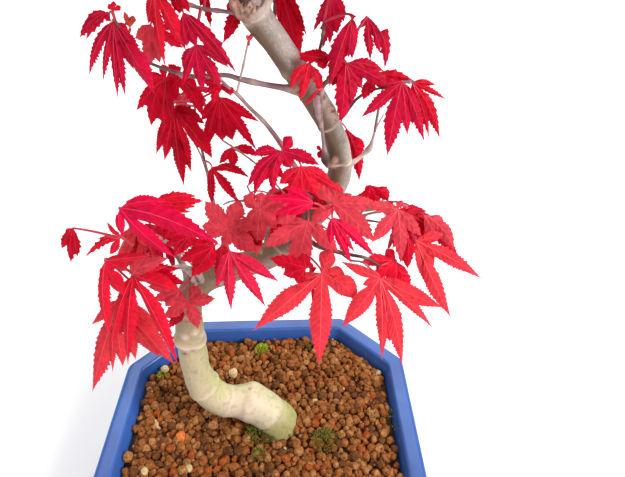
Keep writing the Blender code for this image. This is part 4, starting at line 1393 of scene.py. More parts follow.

# the tint dark is painted shade, given to leaves that lie in shade
heroLeaves = {  # depth, hang, tint, fold, base pixel, lobes: tip pixel, half width and bow in pixels
    # lower left tier
    "shoulderTop": (-48, 0.2, "pink", 0.35, (120, 208), (
        (172, 202, 6, -4), (223, 247, 10.5, -8), (178, 258, 7.5, 3), (123, 236, 5, 2))),
    "shoulderFan": (-42, 0.1, "scarlet", 0.2, (156, 204), (
        (199, 196, 4, -4), (206, 201, 4, -1), (198, 206, 3.5, 1), (193, 212, 3, 2), (168, 193, 3, 0))),
    "farLeft": (-36, 0.3, "crimson", 0.2, (73, 228), (
        (79, 256, 4.5, -1), (71, 263, 4.5, 1), (63, 248, 4, 1), (65, 234, 3, 0))),
    "leftStar": (-34, 0.3, "scarlet", 0.2, (120, 236), (
        (84, 259, 3, 4), (107, 221, 2.5, -2), (111, 254, 4, -1), (98, 238, 2.5, 0))),
    "leftEdge": (-26, 0.5, "scarlet", 0.3, (105, 261), (
        (156, 254, 4.5, -1), (111, 340, 6.5, 3), (124, 294, 9, 1), (128, 270, 6, 0))),
    "leftFront": (-24, 0.4, "scarlet", 0.4, (133, 275), (
        (181, 290, 8, -1), (179, 367, 8.5, -5), (129, 366, 7.5, 0), (112, 344, 7, 2), (171, 265, 4, -1))),
    "leftLow": (-16, 0.4, "coral", 0.2, (119, 300), (
        (93, 392, 10, 0), (175, 365, 10, -3), (91, 325, 4.5, 0), (124, 366, 8, 0), (136, 360, 8, -1),
        (113, 374, 4, 0), (160, 356, 11, 0), (160, 330, 8, -2))),
    "behindLeft": (-21, 0.3, "crimson", 0.2, (138, 271), (
        (181, 268, 5, -1), (187, 283, 7, 0), (160, 284, 6, 0))),
    "shoulderShade": (-34, 0.2, "crimson", 0.2, (176, 222), (
        (150, 234, 4, 0), (164, 240, 5, 0), (196, 240, 6, 0))),
    "paleLeft": (-27, 0.3, "rose", 0.2, (133, 274), (
        (169, 258, 6, -3), (150, 252, 5, -1), (146, 268, 4, 0))),
    "trunkStar": (-10, 0.2, "rose", 0.1, (188, 301), (
        (216, 298, 6, 0), (198, 329, 7, -1), (199, 286, 6.5, 0), (164, 318, 6, 0), (170, 291, 6, 0))),
    "trunkBits": (-14, 0.3, "rose", 0.2, (180, 291), (
        (160, 276, 6, 0), (148, 286, 5, 1), (153, 300, 5, 0), (166, 306, 5, 0))),
    "underStar": (-5, 0.4, "crimson", 0.2, (184, 308), (
        (167, 329, 4, 0), (176, 324, 4, 0))),
    "darkFan": (-38, 0.3, "crimson", 0.2, (215, 245), (
        (179, 260, 7, -1), (192, 276, 7, 0), (204, 273, 7, 1), (187, 240, 5, -1), (200, 236, 4, 0))),
    "underShoulder": (-44, 0.3, "crimson", 0.2, (193, 233), (
        (163, 245, 4, -2), (174, 256, 6, 1), (184, 250, 4, 0), (166, 233, 4, -1))),
    "hanging": (-26, 0.6, "cherry", 0.4, (229, 251), (
        (215, 288, 5.5, -1), (232, 311, 6, 1), (267, 307, 7, -1), (280, 282, 7, 0), (240, 268, 6, 0))),
    "hangShade": (-18, 0.4, "crimson", 0.3, (222, 245), (
        (218, 287, 5, 0), (221, 276, 6, 0), (232, 262, 6, 0), (216, 262, 5, 0))),
    "flatCoral": (-14, 0.0, "rose", 0.05, (229, 229), (
        (205, 201, 8.5, 0), (202, 226, 6, 0), (241, 200, 9, 0), (226, 247, 6, 0), (255, 252, 9, 0),
        (204, 236, 5, 0), (262, 220, 7, 0))),
    "flatShade": (-12, 0.1, "dark", 0.1, (243, 222), (
        (250, 252, 7, 0), (262, 246, 6, 0), (236, 244, 6, 0))),
    "droopCoral": (-12, 0.4, "rose", 0.25, (260, 208), (
        (256, 258, 6, 0), (243, 196, 8, 0), (262, 192, 6, 0), (283, 195, 6, 0), (277, 229, 7, 0),
        (263, 240, 5, 0), (246, 222, 5, 0))),
    # front middle
    "foldedPink": (-28, 0.0, "pink", 0.45, (314, 203), (
        (263, 199, 4.5, 2), (271, 216, 4.5, 1), (285, 187, 5, 1), (290, 216, 4, 1))),
    "pinkShade": (-20, 0.0, "rose", 0.2, (300, 208), (
        (262, 211, 5, 1), (270, 205, 5, 0), (276, 224, 6, 0))),
    "midUpper": (-10, 0.3, "scarlet", 0.3, (301, 166), (
        (279, 184, 6, 0), (290, 190, 6, 0), (303, 192, 7, 0), (332, 183, 5, -2), (318, 196, 7, 0),
        (345, 194, 4, 0))),
    "midStar": (-12, 0.0, "rose", 0.1, (333, 203), (
        (338, 182, 7, 0), (312, 181, 7, 0), (380, 204, 7, 0), (374, 242, 9.5, -2), (311, 224, 6.5, 0),
        (352, 194, 4, 0))),
    "midLarge": (-18, 0.3, "rose", 0.1, (308, 221), (
        (295, 281, 11, 1), (263, 247, 8, 1), (338, 252, 8, 0), (283, 224, 6, 0), (324, 236, 6, 0))),
    "foldedRight": (-28, 0.4, "pink", 0.45, (332, 217), (
        (378, 260, 5, -2), (352, 264, 4.5, 1), (356, 254, 3, 0), (330, 246, 4, 0))),
    "frontMiddle": (-24, 0.4, "coral", 0.2, (322, 273), (
        (253, 330, 11, 2), (319, 368, 11, 0), (357, 299, 11, -4), (331, 247, 8.5, 0), (296, 283, 7, 0),
        (346, 278, 8, -2))),
    "behindFront": (-29, 0.3, "crimson", 0.2, (306, 268), (
        (269, 258, 7, 1), (283, 274, 7, 0), (296, 282, 7, 0), (313, 264, 7, 0), (303, 252, 6, 0))),
    "arching": (-8, 0.3, "ruby", 0.3, (282, 151), (
        (292, 136, 6, 0), (251, 156, 5, 3), (247, 188, 5, 5), (254, 197, 5.5, 5), (275, 195, 5, 5),
        (320, 165, 6, -2), (291, 168, 6, 0))),
    "archShade": (0, 0.4, "crimson", 0.3, (272, 162), (
        (262, 182, 5, 0), (283, 178, 4, 0))),
    "backArch": (22, 0.3, "crimson", 0.3, (232, 147), (
        (258, 155, 4.5, -2), (219, 164, 3.5, 0), (234, 167, 5, 0))),
    "backFork": (22, 0.5, "crimson", 0.3, (212, 167), (
        (251, 178, 4.5, -5), (241, 205, 5, 0), (213, 206, 4, 1), (208, 190, 3, 0))),
    "underArch": (8, 0.4, "dark", 0.2, (272, 196), (
        (284, 200, 5, 0), (290, 190, 4, 0))),
    "shootShade": (-2, 0.3, "dark", 0.2, (320, 196), (
        (309, 184, 6, 0), (324, 212, 6, 0), (314, 210, 5, 0))),
    "midBehind": (-2, 0.3, "crimson", 0.2, (290, 214), (
        (276, 226, 6, 0), (282, 238, 7, 0), (300, 222, 7, 0), (304, 210, 6, 0), (268, 238, 5, 0))),
    # right
    "frontRight": (-26, 0.3, "coral", 0.15, (380, 278), (
        (342, 327, 9.5, 0), (381, 360, 6, -1), (402, 366, 8, -3), (390, 342, 9, 0), (443, 307, 8.5, 1),
        (434, 330, 5, -3), (340, 261, 5, 0), (362, 284, 4, 0))),
    "rightInner": (-18, 0.3, "scarlet", 0.2, (396, 261), (
        (359, 262, 6, 2), (386, 249, 5, 0), (374, 277, 7, 0), (396, 288, 10, 0), (410, 290, 6.5, 1),
        (370, 262, 5, 0))),
    "rightDeep": (-16, 0.3, "crimson", 0.2, (408, 238), (
        (407, 268, 5, 0), (400, 262, 5, 0), (413, 256, 4, 0))),
    "rightOuter": (-14, 0.3, "coral", 0.2, (416, 241), (
        (482, 279, 7, -3), (451, 318, 8, 2), (427, 288, 5, 0), (444, 234, 6, 0), (434, 266, 7, 0))),
    "rightUpper": (-12, 0.2, "rose", 0.15, (398, 209), (
        (371, 242, 7, 0), (401, 263, 7, 0), (421, 236, 5.5, 0), (402, 200, 4, 0), (362, 203, 5, 0),
        (382, 212, 5, 0))),
    "rightBack": (-5, 0.3, "crimson", 0.3, (397, 209), (
        (462, 265, 6.5, -8), (384, 203, 5, -1), (430, 238, 11, 0), (414, 218, 8, 0), (443, 240, 9, -3))),
    "rightCoral": (-8, 0.3, "rose", 0.2, (424, 215), (
        (453, 250, 7, -5), (438, 238, 8, 0), (444, 228, 6, -2))),
    "rightDark": (14, 0.4, "crimson", 0.3, (370, 185), (
        (354, 196, 2.5, -4), (366, 200, 5.5, 0), (378, 203, 7, 0), (388, 201, 6, -3))),
    # upper right
    "topRight": (-6, 0.7, "ruby", 0.3, (331, -8), (
        (312, 34, 3.5, 0), (322, 49, 4.5, 0), (330, 46, 4.5, 0), (337, 33, 6.5, 0), (344, 22, 5, -2))),
    "tallHang": (-14, 0.7, "ruby", 0.35, (352, 18), (
        (329, 88, 8.5, 2), (348, 57, 5, 0), (352, 60, 5, -1), (354, 14, 3, 0))),
    "archRight": (-10, 0.7, "ruby", 0.35, (367, 16), (
        (384, 70, 5, -9), (370, 60, 4.5, 0), (380, 53, 4, -2), (361, 28, 3, 0))),
    "knotShade": (-2, 0.4, "dark", 0.2, (344, 58), (
        (332, 86, 7, 0), (319, 88, 3.5, -2), (348, 78, 6, 0))),
    "rightKnot": (-10, 0.4, "ruby", 0.3, (346, 63), (
        (341, 123, 8, 0), (351, 104, 7.5, -1), (392, 88, 6.5, -2), (384, 71, 5, -3), (362, 88, 6, 0))),
    "knotRight": (-8, 0.4, "crimson", 0.3, (372, 76), (
        (413, 80, 4.5, -3), (392, 88, 6, 0), (371, 94, 4, 0), (363, 100, 5, 0))),
    "bigRight": (-12, 0.6, "ruby", 0.25, (402, 81), (
        (387, 157, 9, 2), (424, 142, 5.5, -2), (407, 135, 5, 0), (360, 117, 6.5, 0), (384, 84, 4, 0),
        (413, 125, 5, 0))),
    "tipRight": (0, 0.5, "crimson", 0.3, (412, 82), (
        (436, 85, 3, -1), (447, 100, 2.6, -1), (440, 140, 6, -4), (429, 140, 4, -2), (422, 114, 5, 0))),
    "onTrunk": (-10, 0.6, "scarlet", 0.3, (309, 62), (
        (290, 90, 4.2, 3), (300, 101, 4.6, 0), (320, 97, 4.2, -4), (309, 82, 3, 0))),
    "flatDark": (-10, 0.1, "crimson", 0.2, (331, 57), (
        (298, 54, 5, -2), (298, 59, 4, 0), (317, 67, 5.5, 0), (306, 51, 4, 0))),
    "behindTop": (16, 0.6, "crimson", 0.3, (280, -18), (
        (301, 55, 11, 1), (308, 38, 4, -2), (279, 25, 5, 0), (294, 20, 4, -3))),
    "behindTrunk": (32, 0.6, "crimson", 0.3, (346, 128), (
        (359, 182, 6, -4), (351, 178, 4, 0), (357, 160, 9, -3), (350, 158, 7, 0))),
    # upper left
    "tipLeft": (-8, 0.6, "ruby", 0.35, (113, 21), (
        (89, 78, 4.5, 4), (104, 83, 3.5, 0), (118, 101, 4, -1), (156, 94, 9.5, -2.5), (142, 62, 5, -4),
        (130, 35, 4, -2), (127, 98, 5, -1), (134, 70, 6, 0))),
    "tipLeftTop": (-10, 0.4, "ruby", 0.3, (110, 12), (
        (81, 38, 4.5, 4), (86, 41, 3.5, 3), (107, 21, 3.5, 0), (82, 30, 3, 5))),
    "bud": (-10, 0.0, "scarlet", 0.2, (113, 11), (
        (108, 4, 3, 0), (115, 2, 3, 0), (121, 6, 3, 0))),
    "smallOrange": (-6, 0.0, "orange", 0.2, (130, 28), (
        (125, 12, 2.5, 0), (133, 15, 4, 0), (127, 19, 4, 0))),
    "paleBehind": (16, 0.5, "rose", 0.2, (151, 24), (
        (135, 38, 6, -2), (149, 66, 7, 0), (160, 63, 7, 0))),
    "hookBehind": (18, 0.4, "scarlet", 0.2, (157, 27), (
        (184, 48, 5, 1), (171, 27, 3, 0), (160, 44, 4, 0))),
    "fromTop": (-8, 0.7, "scarlet", 0.35, (154, -12), (
        (166, 69, 5.5, 1), (156, 27, 6, 0), (187, 50, 8.5, -1), (148, 24, 5, 0))),
    "topHook": (-6, 0.5, "crimson", 0.3, (172, -12), (
        (191, 13, 4, -2), (180, 14, 6, 0))),
    "archLeft": (-8, 0.4, "ruby", 0.3, (183, 12), (
        (239, 76, 5, -5), (197, 47, 5.5, 0), (187, 47, 5.5, 1), (230, 68, 4.5, 0))),
    "leftTriple": (-10, 0.6, "ruby", 0.3, (196, 44), (
        (184, 72, 5, 3), (203, 92, 6, 1), (222, 89, 6.5, -1), (229, 68, 4.5, -2), (183, 86, 4, 0))),
    "curled": (-4, 0.3, "crimson", 0.3, (221, 85), (
        (213, 106, 3.5, 2), (231, 96, 4.5, -3), (201, 79, 4.5, 0), (207, 92, 3.5, 0))),
    "blurRight": (29, 0.5, "crimson", 0.2, (219, 97), (
        (258, 152, 5.5, -2), (261, 122, 5, 0), (233, 140, 8, 0), (222, 141, 9, 0), (205, 149, 6, 0),
        (201, 120, 5, 0))),
    "blurLow": (28, 0.6, "crimson", 0.2, (174, 110), (
        (185, 187, 6, 0), (156, 155, 5, 2), (165, 161, 5, 0), (192, 174, 6, -1), (213, 158, 9, -3),
        (203, 138, 8, 0), (180, 160, 8, 0))),
    "blurMid": (28, 0.4, "crimson", 0.2, (166, 78), (
        (136, 111, 6, 2), (152, 126, 7, 4), (164, 126, 9, 0), (142, 76, 5, 0), (182, 67, 5, 0),
        (162, 64, 5, 0), (176, 124, 6, 3))),
    "blurMidRight": (29, 0.4, "crimson", 0.2, (180, 78), (
        (202, 116, 7, -4), (163, 100, 9, 0), (198, 88, 6, 0), (168, 64, 5, 0))),
    "blurCentre": (31, 0.4, "dark", 0.2, (170, 106), (
        (205, 124, 6, -2), (150, 118, 6, 0), (186, 122, 8, 0))),
    "topTwig": (-2, 0.6, "crimson", 0.3, (206, -8), (
        (212, 28, 3.5, 1), (200, 6, 3.5, 0))),
    "behindScar": (20, 0.6, "crimson", 0.3, (240, -4), (
        (223, 43, 6.5, -2), (229, 16, 7, 0), (232, 30, 6, 0), (234, 14, 6, 0))),
    "redSliver": (-12, 0.3, "crimson", 0.2, (318, 90), (
        (303, 107, 1.6, 0), (306, 102, 1.2, 0))),
    "twigBud": (-9, 0.2, "rose", 0.2, (249, 42), (
        (252, 33, 2.2, 0), (247, 35, 1.5, 0))),
    "shootBits": (-3, 0.3, "crimson", 0.2, (322, 150), (
        (316, 146, 2, 0), (318, 158, 3, 0))),
}

stalkFrom = {  # pixel and depth where the stalk of a leaf starts, when its way can be followed
    "behindTrunk": (340, 122, 22), "behindTop": (272, -20, 10), "farLeft": (119, 238, -38),
    "foldedPink": (325, 209, -16), "pinkShade": (322, 210, -12), "leftStar": (133, 246, -34),
    "onTrunk": (322, 52, -8), "archRight": (352, 40, -10), "droopCoral": (272, 196, -6),
    "midStar": (322, 196, -6), "paleBehind": (160, -4, -6), "hookBehind": (160, -4, -6),
    "rightDark": (378, 206, 18), "foldedRight": (333, 206, -13), "bigRight": (396, 86, -9),
}

heroSide = 0.3  # how far lobes away from the middle of the view turn back


def heroShape(depth, hang, basePixel, lobes):
    # each tip lies on its own line of sight, deeper the further it hangs below the base
    base = pointAtDepth(basePixel, depth)
    right, up, forward = viewAxes()
    ahead = (base - eye) @ forward
    perPixel = ahead / view["focalPixels"]
    turnBack = heroSide * (base[0] - eye[0]) / 100
    tips = []
    for x, y, _, _ in lobes:
        deeper = hang * (y - basePixel[1]) + turnBack * (x - basePixel[0])
        tips.append(eye + sightLine((x, y)) * (ahead + deeper * perPixel))
    line = sightLine(basePixel)
    toRight = right + line * turnBack
    toDown = -up + line * hang
    normal = unit(np.cross(toRight, toDown))
    if normal @ line > 0:
        normal = -normal
    sizes = np.array([lobe[2:] for lobe in lobes]) * perPixel
    return base, np.array(tips), normal, sizes[:, 0], sizes[:, 1]


# ---- leaf masses grown by rule

massTable = {  # middle, half sizes, droop of the rim, turn in degrees, bough, leaves
    "foliage_left_hanging": ((-46, -24, 173), (21, 12, 29), 16, 20, "bough_left_low", 0),
    "foliage_left_shoulder": ((-20, -44, 234), (34, 13, 9), 13, -8, "bough_left_front", 0),
    "foliage_inner_front": ((-1, -21, 207), (20, 11, 12), 14, 10, "bough_inner_front", 0),
    "foliage_middle_front": ((26, -28, 189), (22, 10, 14), 22, 0, "bough_middle_front", 0),
    "foliage_middle_top": ((28, -19, 231), (25, 13, 12), 8, -6, "bough_middle_front", 0),
    "foliage_right_front": ((60, -28, 190), (24, 13, 11), 20, -12, "bough_right_front", 0),
    "foliage_right_outer": ((79, -5, 198), (24, 17, 10), 22, -10, "bough_right", 0),
    "foliage_left_back": ((-46, 34, 174), (18, 20, 10), 14, 30, "bough_left_back", 12),
    "foliage_back_low": ((2, 56, 172), (32, 22, 10), 14, 0, "bough_back_low", 18),
    "foliage_right_back": ((70, 36, 181), (21, 20, 9), 14, -30, "bough_right_back", 12),
    "foliage_upper_left_tip": ((-28, -4, 278), (17, 12, 9), 16, 10, "bough_upper_left", 0),
    "foliage_upper_left": ((-6, -13, 276), (11, 6, 8), 14, 0, "bough_middle_rising", 0),
    "foliage_back_left": ((-22, 40, 230), (26, 13, 13), 22, 14, "bough_back_left", 4),
    "foliage_upper_right": ((41, -11, 277), (13, 8, 12), 18, 0, "bough_front_shoot", 0),
    "foliage_upper_right_outer": ((63, -8, 260), (14, 9, 7), 16, -10, "bough_upper_right", 0),
    "foliage_back_right": ((59, 28, 247), (12, 10, 8), 12, 20, "bough_back_right", 5),
    "foliage_upper_back": ((17, 23, 283), (14, 9, 7), 8, -14, "bough_upper_back", 6),
    "foliage_crown_left": ((-24, -2, 314), (28, 24, 11), 13, 16, "bough_crown_left", 18),
    "foliage_crown_right": ((60, 0, 308), (27, 24, 11), 13, -16, "bough_crown_right", 18),
    "foliage_crown_front": ((18, -38, 322), (26, 18, 11), 12, 0, "bough_crown_front", 14),
    "foliage_crown_back": ((16, 42, 304), (29, 19, 12), 14, 6, "bough_crown_back", 18),
    "foliage_crown_top": ((24, 4, 356), (29, 26, 15), 18, 0, "trunk_tip", 24),
}

sprays = {
    "leavesEach": 4,
    "lobeLength": (21.0, 31.0),
    "petiole": (7.0, 14.0),
    "lobeAngles": (0.0, 34.0, -34.0, 70.0, -70.0, 108.0, -108.0),
    "lobeShares": (1.0, 0.92, 0.92, 0.72, 0.72, 0.42, 0.42),
    "teeth": 5,
    "tints": ("crimson", "scarlet", "ruby", "rose", "crimson", "coral", "ruby"),
    "seed": 77,
    "tries": 120,
    "sevenLobes": 0.6,  # share of the leaves that have seven lobes, the others five
    "tilt": 0.22, "lobeTurn": 4, "lobeSpread": (0.92, 1.08), "tipDroop": (0.05, 0.35),
    "twigTurn": (-0.2, 0.2), "twigReach": (0.30, 0.62), "reachAlone": 0.2, "twigRise": (0.0, 0.55),
    "twigRoot": (0.72, 0.98), "twigArch": 0.22, "twigStray": 1.2,  # root as a share along the bough
    "nodesAt": (0.45, 0.75, 1.0),  # shares along a twig where a pair of leaves stands
    "swing": (0.3, 1.1), "swingSpread": 0.25, "swingMore": 0.03, "bounds": 1.12,
    "leafDroop": (8, 52), "climb": (0.1, 0.7), "fold": (0.1, 0.35),
    "petioleRadii": (0.5, 0.38), "tracedRadii": (0.5, 0.36),
    "smaller": {"foliage_right_back": 0.60, "foliage_back_right": 0.62, "foliage_upper_back": 0.8},
}

coverRegions = (  # pixel boxes where leaves of the rule may show between the others
    (95, 225, 190, 300), (150, 224, 300, 262), (255, 190, 350, 262), (300, 205, 352, 262),
    (386, 206, 442, 258), (140, 30, 232, 120), (330, 20, 380, 80), (380, 84, 432, 118),
)


def mayShow(points):
    # a leaf is kept when it is above the main view, or wholly inside a region that other leaves cover
    x, y = toPixels(points).T
    return bool(np.all(y < -3)) or any(
        np.all((x > left) & (x < right) & (y > top) & (y < low)) for left, top, right, low in coverRegions)


def ruleLeaf(base, outward, droop, size, draw):
    # lobes spread like fingers in a tilted plane, the outer ones shorter, with drooping tips
    flat = unit(np.array([outward[0], outward[1], 0.0]))
    axis = unit(flat * math.cos(droop) + np.array([0, 0, -1.0]) * math.sin(droop))
    sideways = unit(np.cross((0.0, 0.0, 1.0), flat))
    sideways = unit(sideways + np.array([0, 0, 1.0]) * draw.normal(0, sprays["tilt"]))
    sideways = unit(sideways - axis * (sideways @ axis))
    normal = unit(np.cross(axis, sideways))
    lobes = 7 if draw.uniform() < sprays["sevenLobes"] else 5
    angles = np.radians(np.array(sprays["lobeAngles"][:lobes]) + draw.normal(0, sprays["lobeTurn"], lobes))
    shares = np.array(sprays["lobeShares"][:lobes]) * draw.uniform(*sprays["lobeSpread"], lobes) * size
    tips = (axis * np.cos(angles)[:, None] + sideways * np.sin(angles)[:, None]) * shares[:, None]
    tips[:, 2] -= shares * draw.uniform(*sprays["tipDroop"], lobes)
    return base + tips, normal


def curveBetween(start, control, end, count):
    # a quadratic curve: start, control and end weighed by (1 - t)^2, 2 t (1 - t) and t^2
    t = np.linspace(0, 1, count)[:, None]
    return (1 - t) ** 2 * start + 2 * t * (1 - t) * control + t ** 2 * end


def growMass(name, lines, draw):
    # twigs fan out from the end of the bough through the mass; leaves stand in pairs at their nodes
    middle, size, droop, turn, bough, count = massTable[name]
    middle, size = planted(middle), np.array(size, float)
    path = lines[bough]
    turned = math.radians(turn)
    curves, stalks, leaves = [], [], []
    number = max(1, round(count / sprays["leavesEach"]))
    start = draw.uniform(0, 2 * np.pi)
    for k in range(number if count else 0):
        tint = sprays["tints"][draw.integers(0, len(sprays["tints"]))]
        angle = start + 2 * np.pi * (k + draw.uniform(*sprays["twigTurn"])) / number
        reach = draw.uniform(*sprays["twigReach"]) if number > 1 else sprays["reachAlone"]
        offset = np.array([size[0] * reach * math.cos(angle), size[1] * reach * math.sin(angle), 0])
        offset = np.array([offset[0] * math.cos(turned) - offset[1] * math.sin(turned),
                           offset[0] * math.sin(turned) + offset[1] * math.cos(turned),
                           size[2] * draw.uniform(*sprays["twigRise"])])
        end = middle + offset
        root = path[int(len(path) * draw.uniform(*sprays["twigRoot"])) - 1]
        lift = np.array([0, 0, sprays["twigArch"] * np.linalg.norm(end - root)])
        stray = draw.normal(0, sprays["twigStray"], 3)
        twig = curveBetween(root, (root + end) / 2 + lift + stray, end, 12)
        curves.append(twig)
        for share in sprays["nodesAt"]:
            node = twig[int(share * 11)]
            for side in (-1, 1):
                if len(leaves) >= count:
                    break
                scale = sprays["smaller"].get(name, 1.0)
                made = growLeaf(node, twig, middle, size, droop, side, share, scale, draw)
                if made is not None:
                    stalks.append(made[0])
                    leaves.append((*made[1:], tint))
    return curves, stalks, leaves


def growLeaf(node, twig, middle, size, droop, side, share, scale, draw):
    # try directions from a node until the leaf keeps inside its mass's bounds and may show; each try
    # may swing a little further
    ahead = unit(twig[-1] - twig[0])
    outward0 = unit((node - middle) * (1, 1, 0) + ahead * (6, 6, 0))
    for attempt in range(sprays["tries"]):
        spread = sprays["swingSpread"] + attempt * sprays["swingMore"]
        swing = side * draw.uniform(*sprays["swing"]) + draw.normal(0, spread)
        cosine, sine = math.cos(swing), math.sin(swing)
        outward = np.array([outward0[0] * cosine - outward0[1] * sine,
                            outward0[0] * sine + outward0[1] * cosine, 0.0])
        stalkLength = draw.uniform(*sprays["petiole"]) * (0.6 + 0.4 * share)
        base = node + unit(outward + np.array([0, 0, draw.uniform(*sprays["climb"])])) * stalkLength
        droopBy = math.radians(draw.uniform(*sprays["leafDroop"]))
        tips, normal = ruleLeaf(base, outward, droopBy, scale * draw.uniform(*sprays["lobeLength"]), draw)
        low = middle - size * sprays["bounds"] - (3, 3, droop * 0.9)
        high = middle + size * sprays["bounds"] + (3, 3, 3)
        if np.any(tips.min(axis=0) < low - 4) or np.any(tips.max(axis=0) > high + 4):
            continue
        if not mayShow(np.vstack([base[None], tips])):
            continue
        control = node + unit(outward + np.array([0, 0, 0.8])) * stalkLength * 0.5
        return curveBetween(node, control, base, 6), base, tips, normal
    return None


def thinTubes(curves, sides):
    # tubes of a few sides along short curves, joined; each curve has its radius at both ends
    return joinParts([limbSurface(path, np.linspace(thick, thin, len(path))[:, None] * np.ones(sides))
                      for path, thick, thin in curves])


def nearestPoint(base, skeleton, away):
    # the skeleton point with the least distance, where points in front of the leaf count as further
    gap = skeleton - base
    cost = np.linalg.norm(gap, axis=1) - 0.25 * gap @ away
    return skeleton[np.argmin(cost)]


sideLeaves = {  # leaves of a mass that face sideways, hidden behind the traced ones in the main view
    "counts": {
        "foliage_left_hanging": 6, "foliage_left_shoulder": 6, "foliage_inner_front": 4,
        "foliage_middle_front": 5, "foliage_middle_top": 5, "foliage_right_front": 6,
        "foliage_right_outer": 5, "foliage_upper_left_tip": 4, "foliage_upper_left": 3,
        "foliage_upper_right": 3, "foliage_upper_right_outer": 4,
    },
    "swing": 0.3, "droop": (55, 85),
    "size": (10.0, 18.0), "tries": 2000, "stalkMost": 24.0, "straight": 4.0, "inside": 0.90,
    "behind": 2.0,  # how far at least they stand behind the blades that hide them
    "along": 0.5, "setBack": (3.0, 14.0),  # where their bases may be along a hiding lobe, and behind it
}


def tracedLobes():
    # for lobes of little bow: base pixel, tip pixel, half width in pixels, the distances ahead of both
    # ends, then both ends in space
    forward = viewAxes()[2]
    rows = []
    for depth, hang, _, _, basePixel, lobes in heroLeaves.values():
        base, tips, _, _, _ = heroShape(depth, hang, basePixel, lobes)
        for tip, lobe in zip(tips, lobes):
            if abs(lobe[3]) <= sideLeaves["straight"]:
                rows.append((*basePixel, *lobe[:3], (base - eye) @ forward, (tip - eye) @ forward,
                             *base, *tip))
    return np.array(rows, float)


def behindTraced(points, traced):
    # in the main view every point falls on a traced lobe that is nearer than the point: it lies closer
    # to the lobe's midrib than the half width there
    pixels = toPixels(points)
    ahead = (points - eye) @ viewAxes()[2]
    base, tip = traced[:, 0:2], traced[:, 2:4]
    wide, nearEnd, farEnd = traced[:, 4:7].T
    span = tip - base
    away = pixels[:, None] - base[None]
    t = np.clip((away * span).sum(axis=2) / (span ** 2).sum(axis=1), 0, 1)
    off = np.linalg.norm(away - t[..., None] * span, axis=2)
    room = wide * np.sqrt(np.sin(np.pi * t)) * sideLeaves["inside"]
    covered = (off < room) & (ahead[:, None] > nearEnd + (farEnd - nearEnd) * t + sideLeaves["behind"])
    return bool(np.all(np.any(covered, axis=1)))


def growSideLeaves(name, skeleton, traced, draw):
    # blades that hang with their faces to the left and right, on short stalks from the nearest twig
    middle, size = planted(massTable[name][0]), np.array(massTable[name][1], float)
    stalks, leaves = [], []
    near = traced[np.all(np.abs(traced[:, 7:10] - middle) < size * 1.1 + 3, axis=1)]
    for _ in range(sideLeaves["tries"] if len(near) else 0):
        if len(leaves) >= sideLeaves["counts"][name]:
            break
        row = near[draw.integers(0, len(near))]
        spot = row[7:10] + (row[10:13] - row[7:10]) * draw.uniform(0, sideLeaves["along"])
        base = spot + unit(spot - eye) * draw.uniform(*sideLeaves["setBack"])
        swing = draw.normal(0, sideLeaves["swing"])
        outward = np.array([math.cos(swing), math.sin(swing), 0.0]) * (1 if draw.uniform() < 0.5 else -1)
        tips, normal = ruleLeaf(base, outward, math.radians(draw.uniform(*sideLeaves["droop"])),
                                draw.uniform(*sideLeaves["size"]), draw)
        start = nearestPoint(base, skeleton, -unit(tips - base).mean(axis=0))
        samples = [base + (tips - base) * share for share in (0.3, 0.6, 0.95)]
        stalk = curveBetween(start, (start + base) / 2 + (0, 0, 1.5), base, 6)
        if np.linalg.norm(start - base) > sideLeaves["stalkMost"]:
            continue
        if np.any(tips.min(axis=0) < middle - size * 1.15 - 8):
            continue
        if np.any(tips.max(axis=0) > middle + size * 1.15 + 4):
            continue
        if not behindTraced(np.vstack([base[None], *samples, stalk[3:]]), traced):
            continue
        tint = sprays["tints"][draw.integers(0, len(sprays["tints"]))]
        stalks.append(stalk)
        leaves.append((base, tips, normal, tint))
    return stalks, leaves


def leafPart(leaves, teeth, draw):
    # the blades of a piece joined; blade and rib of each tint are two materials in a row
    points, faces, tints, runs, tones = [], [], [], [], []
    shift = 0
    for base, tips, normal, tint, fold, widths, bows in leaves:
        longest = np.linalg.norm(tips - base, axis=1).max()
        count = teeth if teeth else int(np.clip(round(longest / blade["toothPitch"]), *blade["teeth"]))
        grid, quads, isRib, run, tone = leafBlade(base, tips, normal, count, draw, widths, bows, fold)
        points.append(grid)
        runs.append(run)
        tones.append(tone)
        faces.append(quads + shift)
        tints.append(tintOrder.index(tint) * 2 + isRib)
        shift += len(grid)
    return {"points": np.vstack(points), "faces": [np.vstack(faces)], "material": np.concatenate(tints),
            "veinRun": np.concatenate(runs), "lobeTone": np.concatenate(tones)}


leafGroups = {  # piece of leaves: the masses that it stands for
    "leaves_lower_left": ("foliage_left_hanging", "foliage_left_shoulder", "foliage_inner_front"),
    "leaves_middle": ("foliage_middle_front", "foliage_middle_top"),
    "leaves_right": ("foliage_right_front", "foliage_right_outer"),
    "leaves_back": ("foliage_left_back", "foliage_back_low", "foliage_right_back", "foliage_back_left",
                    "foliage_back_right"),
    "leaves_upper": ("foliage_upper_left_tip", "foliage_upper_left", "foliage_upper_right",
                     "foliage_upper_right_outer", "foliage_upper_back"),
    "leaves_crown": ("foliage_crown_left", "foliage_crown_right", "foliage_crown_front",
                     "foliage_crown_back", "foliage_crown_top"),
}


def groupOf(point):
    # the piece whose nearest mass is closest to a leaf's base
    best = min(massTable, key=lambda name: np.linalg.norm(point - planted(massTable[name][0])))
    return next(group for group, names in leafGroups.items() if best in names)


def foldedLeaves(leaves, draw):
    # leaves of the rule, each with a fold of its own and lobes as wide as the rule makes them
    return [(*leaf, draw.uniform(*sprays["fold"]), None, None) for leaf in leaves]


